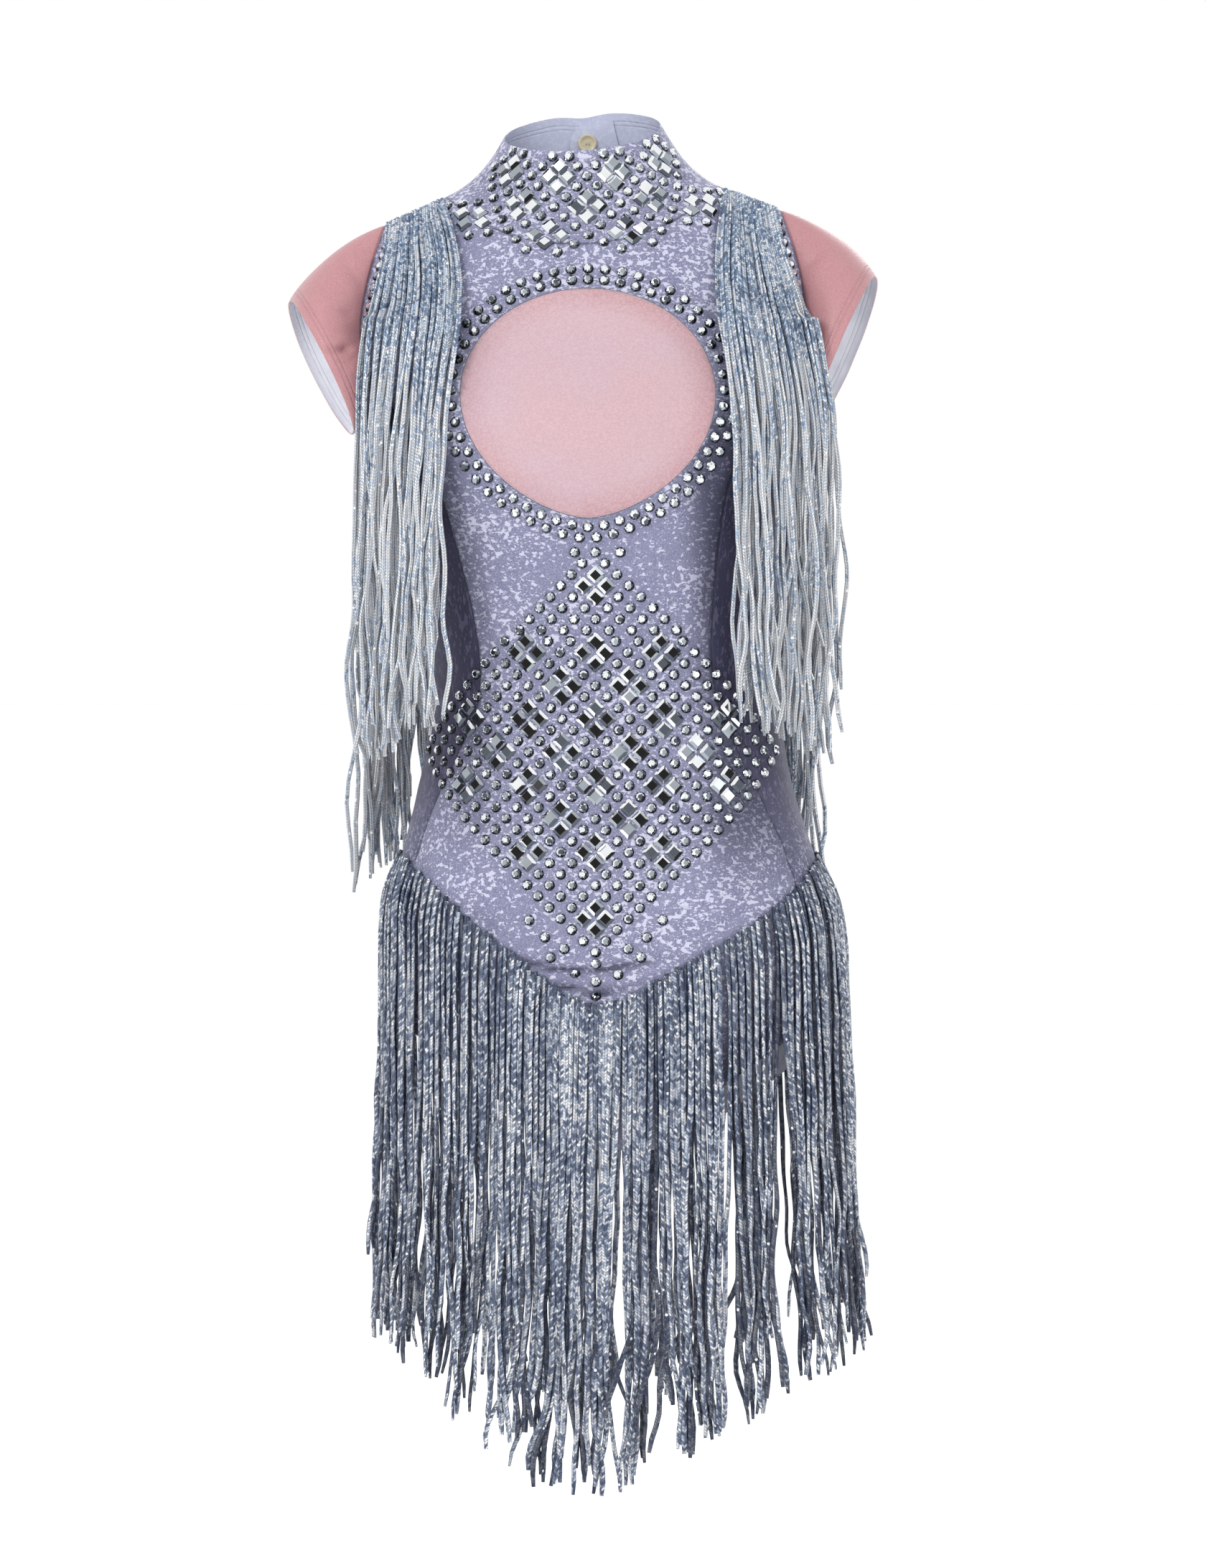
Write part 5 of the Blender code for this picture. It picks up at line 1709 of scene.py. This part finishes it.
def shoulder_tape_spots(tree, side, way):
    spots = []
    for share in steps(0, 1, 14):
        x = blend(fan_edge(side, way, 0, 20), fan_edge(side, way, 1, 20), share)
        at = draped(tree, x, -way * 2.5, 0)
        low = draped(tree, x, -way * 6, 0)
        out = Vector((0, way * 0.1, 1)).normalized()
        spots.append((at, out, (low - at) / TAPE_HEIGHT))
    return spots


# Collar closure


def collar_behind(tree, x, share):
    """A place on the collar's inner face behind the neck, and the way into the neck."""
    turn = 180 - math.degrees(x / COLLAR_RADIUS)
    outer = place(collar(turn, share))
    spot, normal = on_cloth(tree, outer)
    return spot - normal * (CLOTH - 0.1), -normal


TAB_FACES = (0.35, 1.45)  # its two faces' distances from the collar
TAB_PUFF = 0.5  # how far the middle of its outer face bulges


def build_tab(tree, looks):
    middle, half = (TAB_LOW + TAB_HIGH) / 2, (TAB_HIGH - TAB_LOW) / 2
    columns, across_steps, rows = [], 30, 14
    for x in steps(TAB_LEFT, TAB_RIGHT, across_steps):
        round_end = min((x - TAB_LEFT + 0.3) / TAB_END, 1)
        reach = half * math.sqrt(1 - (1 - round_end) ** 2)
        columns.append([(x, middle + reach * v) for v in steps(-1, 1, rows)])
    points = []
    for lift in TAB_FACES:
        for stops in columns:
            for k, (x, share) in enumerate(stops):
                at, way = collar_behind(tree, x, share)
                puff = TAB_PUFF * math.sin(math.pi * k / rows) * (lift == TAB_FACES[1])
                points.append(at + way * (lift + puff))
    faces = []
    for i in range(across_steps):
        for k in range(rows):
            a = i * (rows + 1) + k
            faces.append([a, a + 1, a + rows + 2, a + rows + 1])
    faces = thickened(faces, (across_steps + 1) * (rows + 1))
    result = made("collar_tab_cloth", points, outward(points, faces), looks)
    paint(result.data, "shade", [0.0] * len(points))
    return result


def outward(points, faces):
    """The faces of a closed solid, turned over together if they enclose a negative volume."""
    volume = 0
    for ids in faces:
        for k in range(1, len(ids) - 1):
            volume += points[ids[0]].dot(points[ids[k]].cross(points[ids[k + 1]]))
    return faces if volume > 0 else [ids[::-1] for ids in faces]


BUTTON_SEAT = 2.1  # distance of its underside from the collar
BUTTON_SIDES = 48


def build_button(tree, look, thread):
    """A turned button with a rolled rim and a dished face, and the two loops of thread that hold it."""
    seat, way = collar_behind(tree, BUTTON_X, BUTTON_SHARE)
    seat = seat + way * BUTTON_SEAT
    across = way.cross(Vector((0, 0, 1))).normalized()
    up = across.cross(way)
    r = BUTTON_RADIUS
    profile = [(0.01, 0), (r - 1.4, 0), (r - 0.5, 0.25), (r, 1.0), (r, 1.9), (r - 0.35, 2.6)]
    profile += [(r - 0.9, 2.9), (r - 1.5, 2.8), (r - 2.2, 2.35), (r - 3.2, 2.1), (1.2, 2.0), (0.01, 2.0)]
    points, faces, sides = [], [], BUTTON_SIDES
    for radius, lift in profile:
        for k in range(sides):
            turn = 2 * math.pi * k / sides
            flat = across * (radius * math.cos(turn)) + up * (radius * math.sin(turn))
            points.append(seat + flat + way * lift)
    for ring in range(len(profile) - 1):
        for k in range(sides):
            a, b = ring * sides + k, ring * sides + (k + 1) % sides
            faces.append([a, b, b + sides, a + sides])
    button = made("button_turned", points, outward(points, faces), [look], sharp=60)
    loops = Cords()
    for x in (-1.0, 1.0):
        path = []
        for t in steps(0, 1, 8):
            rise = 2.0 + 0.75 * math.sin(math.pi * t)
            path.append(seat + across * x + up * blend(-1.3, 1.3, t) + way * rise)
        loops.add(path, [way] * len(path), 0.35, 0.3)
    return button, loops.build("button_thread", thread)


FLOOR_HALF, FLOOR_HEIGHT = 40, -1.22  # in metres


def stage_floor():
    mesh = bpy.data.meshes.new("floor")
    square = ((-1, -1), (1, -1), (1, 1), (-1, 1))
    corners = [(x * FLOOR_HALF, y * FLOOR_HALF, FLOOR_HEIGHT) for x, y in square]
    mesh.from_pydata(corners, [], [[0, 1, 2, 3]])
    m = Nodes("floor_pale")
    tone = m.mix(m.noise(m.place(), 2, 2), (0.99, 0.99, 0.99), (0.98, 0.98, 0.98))
    glow = {"Emission_Color": (1, 1, 1, 1), "Emission_Strength": 0.03}
    mesh.materials.append(m.finish(tone, 0.75, None, Specular_IOR_Level=0.2, **glow))
    in_scene("floor", mesh)


def area_light(name, at, towards, size, power):
    data = bpy.data.lights.new(name, "AREA")
    data.shape = "RECTANGLE"
    data.size, data.size_y = size
    data.energy = power
    light = in_scene(name, data)
    light.location = at
    light.rotation_mode = "QUATERNION"
    light.rotation_quaternion = (Vector(towards) - Vector(at)).to_track_quat("-Z", "Y")


def camera():
    data = bpy.data.cameras.new("camera")
    data.sensor_width = 36
    data.lens = 36 * (CAMERA_AT - LOOKS_AT).length / FRAME_HEIGHT
    data.clip_start, data.clip_end = 0.05, 200
    result = in_scene("camera", data)
    result.location = CAMERA_AT * MM
    result.rotation_mode = "QUATERNION"
    result.rotation_quaternion = (LOOKS_AT - CAMERA_AT).to_track_quat("-Z", "Y")
    bpy.context.scene.camera = result


def lights():
    world = bpy.data.worlds.new("studio")
    world.use_nodes = True
    background = world.node_tree.nodes["Background"]
    background.inputs["Color"].default_value = (1.0, 1.0, 1.0, 1)
    background.inputs["Strength"].default_value = 1.0
    bpy.context.scene.world = world
    area_light("key", (-1.7, -2.7, 1.1), (0, 0, -0.35), (1.0, 1.5), 34)
    area_light("fill", (2.1, -2.2, 0.3), (0, 0, -0.45), (1.0, 1.6), 8)
    area_light("back", (0.6, 2.8, 1.2), (0, 0, -0.4), (1.6, 1.6), 26)
    bpy.context.scene.view_settings.view_transform = "Standard"


def carried(piece, nodes=()):
    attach(piece, "root")
    if nodes:
        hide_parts(*nodes)


def carried_fringe(name, cords, look, ribbon, spots):
    strands = cords.build(name + "_cords", look)
    band = tape(name + "_tape", ribbon, spots)
    carried(strands, [name])
    carried(band)


def main():
    camera()
    lights()
    stage_floor()
    lining = reverse("reverse", REVERSE)
    collar_lining = reverse("collar_reverse", COLLAR_REVERSE)
    pale, dark, rose, blush = print_pale(), print_dark(), rose_satin(), blush_inset()
    hip_cord = chain_cord("chain_cord_hip", 0.20, HIP_TONES, glints=125, uneven=0.46)
    shoulder_cord = chain_cord("chain_cord_shoulder", 0.26, FALL_TONES, glints=150, uneven=0.30, lower=0.42)
    # painted reflections: four lit and shaded copies of one mirror, from bright to black
    mirrors = [
        mirror("stone_reflection_bright", (0.93, 0.95, 0.97), 1.0, 0.06),
        mirror("stone_reflection_silver", (0.40, 0.44, 0.48), 1.0, 0.08),
        mirror("stone_reflection_grey", (0.110, 0.125, 0.150), 1.0, 0.08),
        mirror("stone_reflection_dark", (0.012, 0.011, 0.012), 0.8, 0.08),
    ]
    ribbon = plain("tape_weave", (0.13, 0.16, 0.24), 0.7)
    thread = plain("sewing_thread", (0.62, 0.60, 0.50), 0.6)

    shell = garment()
    normals = shell.normals()
    points, hollow = creased(shell.points, normals, shell.tree())
    points = [point + normals[n] * slack(point) * 0.5 for n, point in enumerate(points)]
    shell.points = points
    tree = shell.tree()

    looks = {
        "front": [pale, lining], "back": [pale, lining], "side": [dark, lining],
        "collar": [pale, collar_lining], "sleeve": [rose, lining],
    }
    shades = {"front": panel_shade, "back": panel_shade, "side": side_shade}
    clothes = {}
    for piece in shell.pieces:
        kind = piece.split("_")[0]
        shade = shades.get(kind, plain_shade)
        clothes[piece] = cloth(shell, points, normals, piece, looks[kind], shade, hollow)
    inset = cloth(shell, points, normals, "front", [blush, lining], inset_shade, hollow)
    inset.name = inset.data.name = "inset_cloth"
    boolean(inset, window_bar("inset_bar", -SEAM_GAP / 2), "INTERSECT")
    boolean(clothes["front"], window_bar("window_bar", SEAM_GAP / 2), "DIFFERENCE")
    clothes["inset"] = inset

    tab = build_tab(tree, [collar_lining])
    button, stitches = build_button(tree, cream_button(), thread)

    waist, neck = Stones(3, 0.38), Stones(5, 0.6)
    diamond(waist, tree)
    window_ring(waist, tree)
    armhole_stones(waist, tree)
    collar_stones(neck, tree)
    carried_stones = [waist.build("stones_body", mirrors), neck.build("stones_collar", mirrors)]

    bunches = clumps(random.Random(7), 0.022, 0.085)
    for front, word in ((True, "front"), (False, "back")):
        cords = hip_skirt(tree, front, bunches, random.Random(11 + front))
        carried_fringe(f"hip_fringe_{word}", cords, hip_cord, ribbon, hip_tape_spots(tree, front))
    for side, word in ((-1, "left"), (1, "right")):
        for way, kind in ((-1, "shoulder_fringe"), (1, "back_fringe")):
            cords = shoulder_fall(tree, side, way, random.Random(40 + 2 * side + way))
            spots = shoulder_tape_spots(tree, side, way)
            carried_fringe(f"{kind}_{word}", cords, shoulder_cord, ribbon, spots)

    for piece, item in clothes.items():
        carried(item, [piece])
    carried(tab, ["collar_tab"])
    carried(button, ["button"])
    carried(stitches)
    for stones in carried_stones:
        carried(stones)


main()
